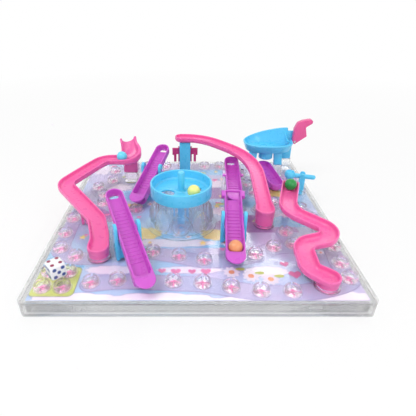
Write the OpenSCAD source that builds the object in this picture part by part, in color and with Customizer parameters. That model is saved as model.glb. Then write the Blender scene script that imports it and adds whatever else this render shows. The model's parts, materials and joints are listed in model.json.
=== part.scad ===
// Marble snakes and ladders in a clear case: a printed card under a clear deck, three pink slides,
// four see-saw ladders, a spinning drum, a lift, a launcher and a flip lever.
// Millimetres. Origin at the middle of the case's underside, +Z up, +Y to the back.

/* [Case] */
// Width and depth of the square case
case_w = 280; // [252:1:340]
// Height of the closed case, from the table to the rim
case_h = 15; // [12:0.5:30]
// Radius of the case's corners
corner_r = 4; // [3:0.5:8]
// Thickness of the tray's walls
tray_wall = 2; // [1.4:0.1:2.6]
// Thickness of the tray's floor
tray_floor = 1.6; // [1.2:0.1:3]
// Width of the rib that carries the printed card
rib_w = 2.4; // [1.6:0.1:4]
// Thickness of the printed card
card_t = 0.8; // [0.4:0.1:1.5]
// Gap around and above the card
card_gap = 0.2; // [0.1:0.05:0.5]
// Thickness of the clear deck
deck_t = 1.8; // [1.4:0.1:3]
// How far the rim stands above the deck
rim_h = 1; // [0.5:0.1:2]
// Width of the rim
rim_w = 2; // [1.2:0.1:3]
// Thickness of the lip under the deck, which fits inside the tray
lip_t = 1.6; // [1.2:0.1:2.2]
// How far the lip reaches down past the underside of the deck
lip_drop = 2.2; // [1.5:0.1:4]
// Gap on each side of the lip
lid_gap = 0.4; // [0.2:0.05:0.8]
// Width of a snap tab
tab_w = 11; // [8:0.5:16]
// How far a snap tab hangs below the deck
tab_drop = 3.4; // [2:0.1:5]
// Thickness of a snap tab
tab_t = 1.2; // [0.8:0.1:2]
// Distance of the snap tabs from the middle of the front edge
tab_x = 91; // [40:1:110]
// Diameter of the pegs that hold feet in the deck
peg_d = 3.6; // [2.5:0.1:5]
// Gap around a peg in its hole
peg_gap = 0.1; // [0.05:0.05:0.3]

/* [Balls and cells] */
// Diameter of a ball
ball_d = 12.5; // [11.5:0.1:13]
// Outer diameter of a cell cup
cup_d = 14; // [13:0.1:15]
// Height of a cell cup above the deck
cup_h = 4.8; // [3.5:0.1:5.2]
// Height of the ball seat's lowest point above the deck
seat_h = 1.2; // [0.6:0.1:2]
// Width of the notches that part a cup into four petals
notch_w = 2.2; // [1.5:0.1:3]
// Radial room around a ball in a seat
seat_gap = 0.25; // [0.1:0.05:0.5]
// Gap under a ball or die at rest
rest_gap = 0.3; // [0.1:0.05:0.5]
// Edge of the die
die_w = 13.5; // [11:0.5:14]
// Diameter of a pip on the die
pip_d = 2.3; // [1.6:0.1:2.6]
// Depth of a pip
pip_depth = 0.35; // [0.2:0.05:0.6]

/* [Slides] */
// Outer width of the zigzag and S troughs
trough_w = 17.8; // [17:0.1:18.6]
// Outer width of the arch trough
arch_w = 16.4; // [16:0.1:17.6]
// Thickness of a trough's walls
trough_wall = 1.6; // [1.2:0.1:1.8]
// Thickness of a trough's floor
trough_floor = 1.6; // [1.2:0.1:2.2]
// Depth of the channel in a trough
trough_depth = 5.4; // [4.5:0.1:7]
// Size of the bevel along a trough's lower edges
trough_bevel = 2.6; // [1:0.1:3.2]
// Outer diameter of a slide's end cup at its rim
end_cup_d = 19.6; // [19:0.1:21]
// Outer diameter of an end cup's foot, in its socket ring
end_foot_d = 18; // [17:0.1:18.6]
// Bore of a slide's end cup, down to the channel's floor
end_cup_bore = 16.2; // [14:0.1:17]
// Height of the clear socket ring around an end cup's foot
socket_h = 3; // [2:0.1:4]
// Wall of the clear socket ring
socket_wall = 1.5; // [1:0.1:2]
// Gap between an end cup's foot and its socket ring
socket_gap = 0.15; // [0.05:0.05:0.3]
// Height of the clear block under the zigzag tower
tower_base_h = 14; // [10:0.5:18]
// Width of the zigzag tower's block
tower_w = 16.6; // [12:0.1:18]
// Depth of the zigzag tower's block
tower_d = 13; // [10:0.5:16]

/* [Arch post and lift] */
// Width of the arch post
post_w = 14; // [11:0.5:16]
// Depth of the arch post
post_d = 9; // [7:0.5:12]
// Width of the grooves in the post's sides
groove_w = 2.4; // [1.8:0.1:3]
// Depth of the grooves in the post's sides
groove_depth = 2; // [1:0.1:2.6]
// Gap between the carriage and the post
carriage_gap = 0.3; // [0.2:0.05:0.5]
// Height of the carriage's wings
wing_h = 19; // [14:0.5:22]
// How far each wing stands out from the post
wing_w = 9.5; // [7:0.5:12]
// Height of the carriage's lower end above the deck
carriage_h = 13.5; // [8:0.5:16]

/* [Ladders] */
// Outer width of a ladder
ladder_w = 17; // [16.6:0.1:18]
// Thickness of a ladder's walls
ladder_wall = 1.5; // [1:0.1:1.7]
// Thickness of a ladder's floor
ladder_floor = 1.6; // [1.2:0.1:2.2]
// Depth of a ladder's channel at its pins
ladder_depth = 8.6; // [7:0.1:9.5]
// Angle between a ladder's floor and its rim, deeper to the low end
ladder_taper = 1.8; // [0:0.1:2.5]
// Height of a ladder's rim above its pins
rim_over_pin = 2.6; // [2.2:0.1:4]
// Spacing of the rungs
rung_step = 4; // [3:0.5:6]
// Height of a rung
rung_h = 0.6; // [0.3:0.1:1]
// Width of a rung
rung_w = 1.4; // [0.8:0.1:2]
// Width of the slot across a ladder's high end
ladder_slot_w = 9.5; // [6:0.5:11]
// Length of that slot along the ladder
ladder_slot_len = 5; // [3:0.5:6]
// Radius of the channel's corners at a ladder's low end
ladder_corner_r = 4; // [2:0.5:6]
// Thickness of the plate that a ladder's low end stands on
foot_t = 2; // [1.6:0.1:3]
// Diameter of a ladder's pins
pin_d = 4; // [3:0.1:4.8]
// Radial running gap of every pin and shaft
run_gap = 0.06; // [0.02:0.01:0.1]
// Gap between a ladder and its yoke on each side
yoke_gap = 0.5; // [0.3:0.1:1]
// Thickness of a yoke's uprights
upright_t = 3; // [2.4:0.1:4]
// Width of a yoke's uprights
upright_w = 9; // [7:0.5:12]
// Height of an upright above its pin
upright_over_pin = 6; // [4:0.5:8]
// Distance of a yoke's web below its pins
web_drop = 11.5; // [10.5:0.5:14]

/* [Drum] */
// Outer radius of the drum
drum_r = 30.6; // [28:0.1:32]
// Thickness of the drum's wall
drum_wall = 2; // [1.4:0.1:3]
// Height of the drum's lower edge above the deck
drum_h = 33; // [28:0.5:38]
// Height of the drum's wall
drum_wall_h = 13; // [10:0.5:16]
// Height of the drum's floor above its lower edge
drum_floor_up = 3; // [2.5:0.5:5]
// Thickness of the drum's floor
drum_floor_t = 2; // [1.4:0.1:2.4]
// Diameter of the ball holes in the drum
drum_hole_d = 13.8; // [13.2:0.1:14.5]
// Distance of the ball holes from the drum's middle
drum_hole_r = 14; // [12:0.5:18]
// Diameter of the knob and shaft
shaft_d = 6.8; // [5:0.1:8]
// Height of the knob above the drum's rim
knob_up = 11; // [6:0.5:16]
// Outer diameter of the bearing hub
hub_d = 12; // [10:0.5:14]
// Radius of the pedestal at the deck
bell_base_r = 33; // [31:0.5:34.5]
// Radius of the pedestal under the drum
bell_top_r = 28; // [24:0.5:28.5]
// Number of scallops round the pedestal
bell_lobes = 8; // [6:1:10]
// Depth of the scallops at the deck
bell_wave = 2.2; // [1:0.1:3]
// Thickness of the pedestal's wall
bell_wall = 1.8; // [1.4:0.1:2.4]

/* [Launcher] */
// Radius of the round end of the bowl
bowl_r = 25; // [22:0.5:28]
// Radius of the entry end of the bowl
entry_r = 9; // [8:0.5:11]
// Height of the bowl's floor above the deck
bowl_floor_h = 34; // [30:0.5:38]
// Thickness of the bowl's floor
bowl_floor_t = 2; // [1.4:0.1:3]
// Thickness of the bowl's wall
bowl_wall = 2; // [1.4:0.1:2.6]
// Depth of the bowl
bowl_depth = 7; // [5:0.5:10]
// Rise of the back wall at the entry end
guard_rise = 13; // [6:0.5:18]
// Bore of the drop tube
tube_bore = 14; // [13.2:0.1:15]
// Wall of the drop tube
tube_wall = 1.8; // [1.2:0.1:2.4]
// Length of the drop tube under the bowl
tube_drop = 8; // [5:0.5:10]
// Width of the legs
leg_w = 10; // [7:0.5:12]
// Depth of the legs
leg_d = 6; // [4:0.5:9]
// Height of the clear blocks under the legs
leg_base_h = 16; // [8:0.5:20]
// Margin of the clear blocks around the legs
leg_base_rim = 1; // [0.5:0.5:2]
// Thickness of the paddle
paddle_t = 7; // [5:0.5:9]
// Diameter of the paddle's hinge pin
paddle_pin_d = 3; // [2:0.1:3.6]
// Side gap between the paddle and the ear behind it
ear_gap = 0.4; // [0.2:0.1:0.8]
// Thickness of that ear
ear_t = 2.4; // [1.8:0.1:3]
// Outer width of the chute
chute_w = 18; // [17:0.1:19]
// Depth of the chute
chute_depth = 7; // [5:0.5:8]
// Length of the chute
chute_len = 58; // [50:1:62]

/* [Flip lever] */
// Height of the lever's pin above the deck
lever_h = 22; // [18:0.5:26]
// Length from the pin to the middle of the ball cup
cup_arm = 14.5; // [12:0.5:17]
// Length from the pin to the tip of the rod
rod_arm = 12; // [8:0.5:14]
// Diameter of the lever's rod
rod_d = 5.4; // [4:0.1:6]
// Diameter of the lever's pin
lever_pin_d = 3.2; // [2.4:0.1:3.6]
// Thickness of the fork's prongs
prong_t = 2.2; // [1.6:0.1:3]
// Width of the fork's prongs
prong_w = 6.4; // [5.4:0.1:8]
// Diameter of the spigot that stands in the clear socket
spigot_d = 6; // [4:0.1:7]
// Height of the clear socket
lever_socket_h = 5.7; // [4:0.1:8]

/* [Hidden] */
$fn = 64;

// Colours
clear = [0.85, 0.9, 0.95, 0.4];
pink = [0.97, 0.35, 0.65];
magenta = [0.8, 0.15, 0.45];
purple = [0.75, 0.25, 0.75];
blue = [0.3, 0.75, 0.95];

// Heights of the case: every piece on the deck is drawn with the deck's top at zero
deck_z = case_h - rim_h;
tray_h = deck_z - deck_t;
card_z = tray_h - card_gap - card_t;
tray_inset = 0.3;
lip_inset = tray_inset + tray_wall + lid_gap;
rib_inset = lip_inset + lip_t + lid_gap;
overlap = 1;

// Places on the deck are given for a case of this width, and spread with the case
layout_w = 280;
spread = case_w / layout_w;
function spots(places) = [for (p = places) p * spread];

// Places of the cells on the deck, along the track from the start at the front left
home_middle = [-117.3, -112.5] * spread;
home_step = [8.2, 9.2];
track = spots([
  [-87.5, -116], [-66, -113], [-19.5, -115], [4.5, -116.5], [27.5, -121.5],
  [51, -126], [76, -126.5], [127, -111], [127, -91], [129, -66], [128, -41], [124, -16], [118, 6],
  [90, -42], [92, -63], [73, -67], [54, -78], [7, -86], [-15.5, -80], [-39.5, -74],
  [-108.8, -81.2], [-126, -69], [-128.7, -44], [-128, -16], [-119, 6], [-103, 17], [-81, 3],
  [-106, 37], [-116.4, 57], [-102, 76], [-104, 105], [-84, 121], [-60, 123], [-37, 122], [-13, 127],
  [16.4, 122], [37, 122], [58, 112], [60, 88], [66, 66], [73, 44], [90, 20], [72, 4]
]);
home = [for (x = [-1, 1], y = [-1, 1]) home_middle + [x * home_step.x, y * home_step.y]];
seat_r = ball_d / 2 + seat_gap;
petal_hollow = 2.6;

// Plan routes of the slides, corner radii, and the height of the channel's floor at both ends
zigzag_route = spots([
  [-81, 82], [-71, 62], [-107, 66], [-142, 10], [-96, -44], [-88.5, -68], [-87.5, -81]
]);
zigzag_radii = [11, 14, 14, 14, 20] * spread;
zigzag_heights = [32.4, 7];
zigzag_fall = 1.7;
ramp_rise = 18;
ramp_len = 21;
landing_flare = 0.8;
ramp_share = 0.4;
landing_drop = 3;
landing_len = 34;
zigzag_leg = [-113, -25] * spread;
zigzag_leg_h = 18;
tower_middle = [-77.7, 78] * spread;

s_route = spots([[103, 6], [89, -39], [138, -74.5], [93, -81], [93, -111], [105.5, -120]]);
s_radii = [20, 10.8, 12, 10.8] * spread;
s_heights = [27.6, 5.6];
s_fall = 1;
s_leg = [99.6, -2] * spread;

arch_route = spots([[-15, 107.5], [10, 107.5], [70, 60], [71, -27]]);
arch_radii = [60, 70] * spread;
arch_heights = [43.6, 14];
arch_fall = 2;
arch_step = 12;
post_middle = [-10.5, 107.5] * spread;
boss_h = 1.2;
boss_inset = 1;
post_h = arch_heights[0] - trough_floor - boss_h;

arc_step = 14;
channel_over = 6;
channel_bevel = trough_bevel - 0.4;
end_cups = [
  [zigzag_route[6], zigzag_heights[1]], [s_route[5], s_heights[1]], [arch_route[3], arch_heights[1]]
];
end_cup_r = end_cup_d / 2;
slide_leg_w = 7;
slide_leg_d = 5;
slide_leg_slot = 2;

// Carriage: the slot between a wing's two legs, the step in its outer leg, its foot and its bridge
plate_t = groove_w - 2 * carriage_gap;
wing_slot = [2.4, 10.4];
wing_slot_x = 1.9;
wing_step = [1.9, 9.5];
wing_foot_h = 3.8;
bridge_h = 5.7;

// Ladders: pin's place, pin's height, heading of the high end, tilt at rest, lengths to each end
ladder_places = [
  [[-61, -79] * spread, 27.6, 112.5, 17, 52.5, 52],
  [[-49.6, 53] * spread, 26.2, 73.2, 17, 46.5, 47],
  [[35.8, -55] * spread, 24, 86.8, 17, 41.5, 36.5],
  [[45.4, 43] * spread, 23.5, 88.3, 11, 38, 36]
];
ladder_inner = ladder_w - 2 * ladder_wall;
ladder_floor_z = rim_over_pin - ladder_depth;
upright_y = ladder_w / 2 + yoke_gap;
finger_ear = 3;
finger_ear_len = 7.5;
finger_ear_in = 1;
pad_len = 10;
window_bar = 2.4;

// Lowest point of a ladder's foot plate below its pins, square to the ladder, where it meets the deck
function foot_depth(l) = (l[1] - rest_gap - l[4] * sin(l[3])) / cos(l[3]);

// Cell at the low end of the back left ladder, just clear of the foot plate as it lifts past the cup
foot_gap = 1;
function turned(v, a) = [v.x * cos(a) - v.y * sin(a), v.x * sin(a) + v.y * cos(a)];
function foot_reach(l) = sqrt(pow(l[4], 2) + pow(foot_depth(l), 2) - pow(l[1] - cup_h, 2));
function foot_cell_at(l) = l[0] - turned([foot_reach(l) + cup_d / 2 + foot_gap, 0], l[2]);
foot_cell = foot_cell_at(ladder_places[1]);
cells = concat(home, track, [foot_cell]);

// Drum
drum_middle = [-14, -21] * spread;
drum_hole_turn = 16;
drum_floor_z = drum_h + drum_floor_up;
drum_rim_z = drum_h + drum_wall_h;
thrust_gap = 0.1;
shaft_depth = 20;
bell_h = drum_h - 1;
bell_rings = 5;
bell_sides = 6 * bell_lobes;
bell_flare = 1.6;
bell_fade = 0.6;

// Launcher
bowl_middle = [90, 106] * spread;
entry_middle = bowl_middle + [29, 8];
tube_middle = bowl_middle + [3.5, -8];
leg_places = [bowl_middle + [-15, -12], bowl_middle + [19, -13]];
column_place = entry_middle + [5, 3];
column_size = [12, 11];
bowl_rim_h = bowl_floor_h + bowl_depth;
bowl_steps = 24;
guard_front = entry_middle.y + entry_r / 3;
pin_from_entry = 1.5;
pin_under_rim = 1.5;
paddle_hub_wall = 2;
paddle_pin_x = entry_middle.x + entry_r + paddle_pin_d + pin_from_entry;
paddle_pin_h = bowl_rim_h - pin_under_rim;
paddle_hub_r = paddle_pin_d / 2 + paddle_hub_wall;
paddle_outline = [[-2.6, -1], [0.5, -3.2], [14.8, 7.4], [12, 19.4], [18, 22.9], [15.4, 29.2], [7.4, 28],
  [1.2, 25], [-2.2, 17.5]];
paddle_tip = [16.7, 26.1];
paddle_tip_r = 3.3;
ear_y = paddle_t / 2 + ear_gap;
ear_over_pin = 12.5;
chute_middle = tube_middle + [1.9, -24.5];
chute_heading = -79;
chute_tilt = 8;
chute_floor_h = 6.8;
chute_foot = 16;

// Lever
lever_place = [127, 43] * spread;
lever_heading = -16.5;
lever_hub_w = 5;
prong_y = lever_hub_w / 2 + ear_gap;
prong_over_pin = 4.4;
post_shoulder = 14;
lever_trim = 0.4;
lever_seat_up = 2;
lever_cup_r = ball_d / 2 - lever_trim;
lever_cup_low = rod_d / 2 + lever_trim;

// Resting places of the loose pieces
ball_from_s_end = 7.5;
ball_in_drum = drum_middle + [12.3, -13.6];
die_turn = 41;
die_off = [1.7, 0.3];
die_rounding = 1.42;
pip_step = 3;

// Plain shapes

module rounded_square(w, r) {
  square([w - 2 * r, w], center = true);
  square([w, w - 2 * r], center = true);
  for (x = [-1, 1], y = [-1, 1]) translate([x * (w / 2 - r), y * (w / 2 - r)]) circle(r);
}

// Outline of the case, drawn in by an inset
module case_outline(inset) {
  rounded_square(case_w - 2 * inset, max(1, corner_r - inset));
}

module case_plate(inset, h) {
  linear_extrude(h) case_outline(inset);
}

module block(size, h) {
  translate([-size.x / 2, -size.y / 2, 0]) cube([size.x, size.y, h]);
}

module stadium(low, high, w, h) {
  linear_extrude(h) {
    translate([-low + w / 2, -w / 2]) square([low + high - w, w]);
    translate([-low + w / 2, 0]) circle(w / 2);
    translate([high - w / 2, 0]) circle(w / 2);
  }
}

module on_deck() {
  translate([0, 0, deck_z]) children();
}

// Routes and sweeps

function unit(v) = v / norm(v);

// Points of the arc that rounds the corner b on the way from a to c
function corner_arc(a, b, c, r) =
  let (
    u = unit(a - b),
    v = unit(c - b),
    half = acos(u * v) / 2,
    middle = b + unit(u + v) * r / sin(half),
    first = b + u * r / tan(half) - middle,
    turn = (cross(u, v) < 0 ? 1 : -1) * (180 - 2 * half),
    from = atan2(first.y, first.x),
    steps = ceil(abs(turn) / arc_step)
  )
  [for (i = [0:steps]) middle + r * [cos(from + turn * i / steps), sin(from + turn * i / steps)]];

function rounded_route(p, radii) = concat(
  [p[0]],
  [for (i = [1:len(p) - 2]) each corner_arc(p[i - 1], p[i], p[i + 1], radii[i - 1])],
  [p[len(p) - 1]]
);

// Route with points added on its long stretches
function split(p, longest) = concat(
  [for (i = [0:len(p) - 2])
    let (n = ceil(norm(p[i + 1] - p[i]) / longest))
    for (k = [0:n - 1]) p[i] + (p[i + 1] - p[i]) * k / n],
  [p[len(p) - 1]]
);

function run(p, i) = i == 0 ? 0 : run(p, i - 1) + norm(p[i] - p[i - 1]);

// Route with heights: a fall between two heights, and a steep ramp over the first stretch
function falling(p, heights, fall, rise, rise_len) =
  let (total = run(p, len(p) - 1))
  [for (i = [0:len(p) - 1])
    let (s = run(p, i))
    [p[i].x, p[i].y, heights[0] + (heights[1] - heights[0]) * pow(s / total, fall)
      + rise * pow(max(0, 1 - s / rise_len), 2)]];

function lengthened(p, by) = concat([p[0] + unit(p[0] - p[1]) * by], p);

// How much of the landing's shape there is at a distance along the route
function landing_at(s) = pow(sin(180 * min(1, s / landing_len)), 2);
function flare_at(s) = max(landing_at(s), ramp_share * (1 - s / landing_len));

// Ring of section points at a place on the route, upright and square to the route in plan.
// The landing widens its left side and lowers its floor over the first stretch.
function ring_at(p, i, section, landing) =
  let (
    side = unit(cross(p[min(i + 1, len(p) - 1)] - p[max(i - 1, 0)], [0, 0, 1])),
    wide = 1 + landing[0] * flare_at(run(p, i)),
    drop = landing[1] * landing_at(run(p, i))
  )
  [for (q = section)
    p[i] + side * q.x * (q.x < 0 ? wide : 1) + [0, 0, q.y - (q.y < trough_depth / 2 ? drop : 0)]];

module sweep(p, section, landing) {
  n = len(section);
  last = len(p) - 1;
  points = [for (i = [0:last]) each ring_at(p, i, section, landing)];
  sides = [for (i = [0:last - 1], j = [0:n - 1])
    let (a = i * n + j, b = i * n + (j + 1) % n)
    each [[a, b, b + n], [a, b + n, a + n]]];
  caps = [[for (j = [n - 1:-1:0]) j], [for (j = [0:n - 1]) last * n + j]];
  polyhedron(points, concat(sides, caps), convexity = 6);
}

function outer_section(w) = [
  [-w / 2, trough_bevel - trough_floor], [-w / 2 + trough_bevel, -trough_floor],
  [w / 2 - trough_bevel, -trough_floor], [w / 2, trough_bevel - trough_floor],
  [w / 2, trough_depth], [-w / 2, trough_depth]
];

function channel_section(w) =
  let (half = w / 2 - trough_wall)
  [[-half, channel_bevel], [-half + channel_bevel, 0], [half - channel_bevel, 0], [half, channel_bevel],
    [half, trough_depth + channel_over], [-half, trough_depth + channel_over]];

module slide(route, w, cup, open_start, landing = [0, 0]) {
  difference() {
    union() {
      sweep(open_start ? route : lengthened(route, trough_wall), outer_section(w), landing);
      translate(cup[0]) end_cup(cup[1] + trough_depth);
      children();
    }
    sweep(open_start ? lengthened(route, trough_wall / 4) : route, channel_section(w), landing);
    translate([cup[0].x, cup[0].y, cup[1]]) cylinder(d = end_cup_bore, h = trough_depth + overlap);
    translate([cup[0].x, cup[0].y, -overlap])
      cylinder(d = end_foot_d - 2 * trough_wall, h = cup[1] - trough_floor + overlap);
  }
}

// Outside of an end cup: a straight foot and a cone that widens to the rim
module end_cup(h) {
  cylinder(d = end_foot_d, h = socket_h + socket_gap);
  translate([0, 0, socket_h + socket_gap])
    cylinder(d1 = end_foot_d, d2 = end_cup_d, h = h - socket_h - socket_gap);
}

zigzag_path = falling(rounded_route(zigzag_route, zigzag_radii), zigzag_heights, zigzag_fall,
  ramp_rise, ramp_len);
s_path = falling(rounded_route(s_route, s_radii), s_heights, s_fall, 0, 1);
arch_path = falling(split(rounded_route(arch_route, arch_radii), arch_step), arch_heights, arch_fall, 0, 1);
landing_ring = 8;
ball_on_zigzag = zigzag_path[landing_ring]
  - [0, 0, landing_drop * landing_at(run(zigzag_path, landing_ring))];
ball_on_s = s_path[0] + unit(s_path[1] - s_path[0]) * ball_from_s_end;

module slotted_leg(place, h) {
  translate([place.x, place.y, 0]) difference() {
    block([slide_leg_w, slide_leg_d], h);
    translate([0, 0, -overlap]) block([slide_leg_slot, slide_leg_d + 2], h / 2 + overlap);
  }
}

// Case

module base_tray() {
  color(clear) {
    difference() {
      case_plate(tray_inset, tray_h);
      translate([0, 0, tray_floor]) case_plate(tray_inset + tray_wall, tray_h);
    }
    linear_extrude(card_z) difference() {
      case_outline(rib_inset);
      case_outline(rib_inset + rib_w);
    }
  }
}

module printed_card() {
  color("lavender") translate([0, 0, card_z]) case_plate(rib_inset + card_gap, card_t);
}

// Places of every peg hole in the deck
peg_places = concat(
  [for (l = ladder_places, s = [-1, 1]) l[0] + turned([0, s * (upright_y + upright_t / 2)], l[2])],
  [for (s = [-1, 1]) post_middle + [s * post_w / 4, 0]]
);

module top_deck() {
  color(clear) difference() {
    union() {
      translate([0, 0, tray_h]) case_plate(0, deck_t);
      translate([0, 0, tray_h]) linear_extrude(case_h - tray_h) difference() {
        case_outline(0);
        case_outline(rim_w);
      }
      translate([0, 0, tray_h - lip_drop]) linear_extrude(lip_drop + deck_t / 2) difference() {
        case_outline(lip_inset);
        case_outline(lip_inset + lip_t);
      }
      for (s = [-1, 1]) translate([s * tab_x - tab_w / 2, -case_w / 2 - tab_t, tray_h]) {
        cube([tab_w, tab_t + rim_w, deck_t]);
        translate([0, 0, -tab_drop]) cube([tab_w, tab_t, tab_drop + deck_t]);
      }
    }
    for (p = peg_places) translate([p.x, p.y, tray_h - overlap])
      cylinder(d = peg_d + 2 * peg_gap, h = deck_t + 2 * overlap);
  }
}

// One petal's outline, seen from the side: a ring with a round seat cut out of it
module petal_outline() {
  difference() {
    translate([petal_hollow, 0]) square([cup_d / 2 - petal_hollow, cup_h]);
    translate([0, seat_h + seat_r]) circle(seat_r);
  }
}

module cell_cups() {
  notch_turn = asin(notch_w / cup_d);
  color(clear) on_deck() for (c = cells, q = [0:3]) translate(c)
    rotate([0, 0, 90 * q + notch_turn]) rotate_extrude(angle = 90 - 2 * notch_turn) petal_outline();
}

module slide_sockets() {
  bore = end_foot_d + 2 * socket_gap;
  color(clear) on_deck() for (e = end_cups) translate(e[0]) difference() {
    cylinder(d = bore + 2 * socket_wall, h = socket_h);
    translate([0, 0, -overlap]) cylinder(d = bore, h = socket_h + 2 * overlap);
  }
}

// Drum

// Radius of the pedestal's skin: flared to the deck, with scallops that fade towards the top
function bell_radius(turn, level) =
  bell_top_r + (bell_base_r - bell_top_r) * pow(1 - level, bell_flare)
  + bell_wave * (1 - bell_fade * level) * cos(bell_lobes * turn);

module drum_pedestal() {
  n = bell_sides;
  outer = [for (i = [0:bell_rings], j = [0:n - 1])
    let (a = 360 * j / n, r = bell_radius(a, i / bell_rings))
    [r * cos(a), r * sin(a), bell_h * i / bell_rings]];
  inner = [for (i = [0:bell_rings], j = [0:n - 1])
    let (a = 360 * j / n, r = bell_radius(a, i / bell_rings) - bell_wall)
    [r * cos(a), r * sin(a), bell_h * i / bell_rings]];
  shift = len(outer);
  top = bell_rings * n;
  skin = [for (i = [0:bell_rings - 1], j = [0:n - 1])
    let (a = i * n + j, b = i * n + (j + 1) % n)
    each [[a, b + n, b], [a, a + n, b + n],
      [shift + a, shift + b, shift + b + n], [shift + a, shift + b + n, shift + a + n]]];
  edges = [for (j = [0:n - 1])
    let (b = (j + 1) % n)
    each [[j, b, shift + b], [j, shift + b, shift + j],
      [top + j, shift + top + b, top + b], [top + j, shift + top + j, shift + top + b]]];
  color(clear) on_deck() translate(drum_middle) polyhedron(concat(outer, inner), concat(skin, edges));
}

module drum_bearing() {
  color(clear) on_deck() translate(drum_middle) difference() {
    cylinder(d = hub_d, h = drum_h - thrust_gap);
    translate([0, 0, drum_h - shaft_depth - overlap])
      cylinder(d = shaft_d + 2 * run_gap, h = shaft_depth + 2 * overlap);
  }
}

module spinner_drum() {
  color(blue) on_deck() translate(drum_middle) {
    difference() {
      translate([0, 0, drum_h]) cylinder(r = drum_r, h = drum_wall_h);
      translate([0, 0, drum_floor_z]) cylinder(r = drum_r - drum_wall, h = drum_wall_h);
      translate([0, 0, drum_h - overlap])
        cylinder(r = drum_r - drum_wall, h = drum_floor_up - drum_floor_t + overlap);
      for (s = [0, 180]) rotate([0, 0, drum_hole_turn + s])
        translate([drum_hole_r, 0, drum_h]) cylinder(d = drum_hole_d, h = drum_wall_h);
    }
    translate([0, 0, drum_h]) cylinder(d = hub_d, h = drum_floor_up);
    translate([0, 0, drum_h - shaft_depth + overlap])
      cylinder(d = shaft_d, h = drum_rim_z + knob_up - drum_h + shaft_depth - overlap);
  }
}

// Slides

module tower_pedestal() {
  color(clear) on_deck() translate(tower_middle) difference() {
    block([tower_w, tower_d], tower_base_h);
    translate([0, 0, -overlap])
      block([tower_w - 2 * bell_wall, tower_d - 2 * bell_wall], tower_base_h - bell_wall + overlap);
  }
}

module zigzag_slide() {
  color(pink) on_deck() slide(zigzag_path, trough_w, end_cups[0], true, [landing_flare, landing_drop]) {
    slotted_leg(zigzag_leg, zigzag_leg_h);
    translate([tower_middle.x, tower_middle.y, tower_base_h])
      block([tower_w, tower_d], zigzag_heights[0] + trough_depth - tower_base_h);
  }
}

module s_slide() {
  color(pink) on_deck() slide(s_path, trough_w, end_cups[1], false) slotted_leg(s_leg, s_heights[0]);
}

module arch_slide() {
  start = arch_path[0];
  color(pink) on_deck() difference() {
    slide(arch_path, arch_w, end_cups[2], true) {
      translate([start.x, start.y, start.z - trough_floor])
        cylinder(d = arch_w, h = trough_floor + trough_depth);
      translate([post_middle.x, post_middle.y, post_h])
        block([post_w - 2 * boss_inset, post_d - 2 * boss_inset], trough_floor + boss_h);
    }
    translate(start) cylinder(d = arch_w - 2 * trough_wall, h = trough_depth + overlap);
  }
}

module arch_post() {
  groove_x = post_w / 2 - groove_depth;
  color(blue) on_deck() translate(post_middle) {
    difference() {
      block([post_w, post_d], post_h);
      for (s = [-1, 1]) translate([s * (groove_x + post_w / 2), -groove_w / 2, 2 * overlap])
        mirror([s < 0 ? 1 : 0, 0, 0]) translate([-post_w / 2, 0, 0]) cube([post_w, groove_w, post_h]);
    }
    for (s = [-1, 1]) translate([s * post_w / 4, 0, -deck_t]) cylinder(d = peg_d, h = deck_t + overlap);
  }
}

// One wing of the carriage: a tongue in the post's groove and a plate with two legs
module wing() {
  tongue = groove_depth - carriage_gap;
  below = [0, overlap];
  translate([post_w / 2 - tongue, plate_t / 2, 0]) rotate([90, 0, 0]) linear_extrude(plate_t) difference() {
    square([tongue + wing_w, wing_h]);
    translate([tongue + wing_slot_x, -overlap]) square(wing_slot + below);
    translate([tongue + wing_w - wing_step.x, -overlap]) square(wing_step + [overlap, overlap]);
    translate([-overlap, -overlap]) square([tongue + overlap, wing_foot_h + overlap]);
  }
  translate([post_w / 2 + carriage_gap, -plate_t / 2, wing_h - bridge_h])
    cube([plate_t, post_d / 2 + carriage_gap + 1.5 * plate_t, bridge_h]);
}

module lift_carriage() {
  bridge_half = post_w / 2 + carriage_gap + plate_t;
  color(magenta) on_deck() translate([post_middle.x, post_middle.y, carriage_h]) {
    wing();
    mirror([1, 0, 0]) wing();
    translate([-bridge_half, post_d / 2 + carriage_gap, wing_h - bridge_h])
      cube([2 * bridge_half, plate_t, bridge_h]);
  }
}

// Ladders

// Plan of a trough from its low end to its high end, with a corner radius at each end
module trough_plan(low, high, w, low_r, high_r) {
  translate([low_r - low, -w / 2]) square([low + high - low_r - high_r, w]);
  for (e = [[-low, low_r, 1], [high, high_r, -1]]) if (2 * e[1] < w)
    translate([e[0] + (e[2] < 0 ? -e[1] - overlap : 0), e[1] - w / 2]) square([e[1] + overlap, w - 2 * e[1]]);
  for (e = [[-low, low_r, 1], [high, high_r, -1]], s = [-1, 1]) if (e[1] > 0)
    translate([e[0] + e[2] * e[1], s * (w / 2 - e[1])]) circle(e[1]);
}

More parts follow.
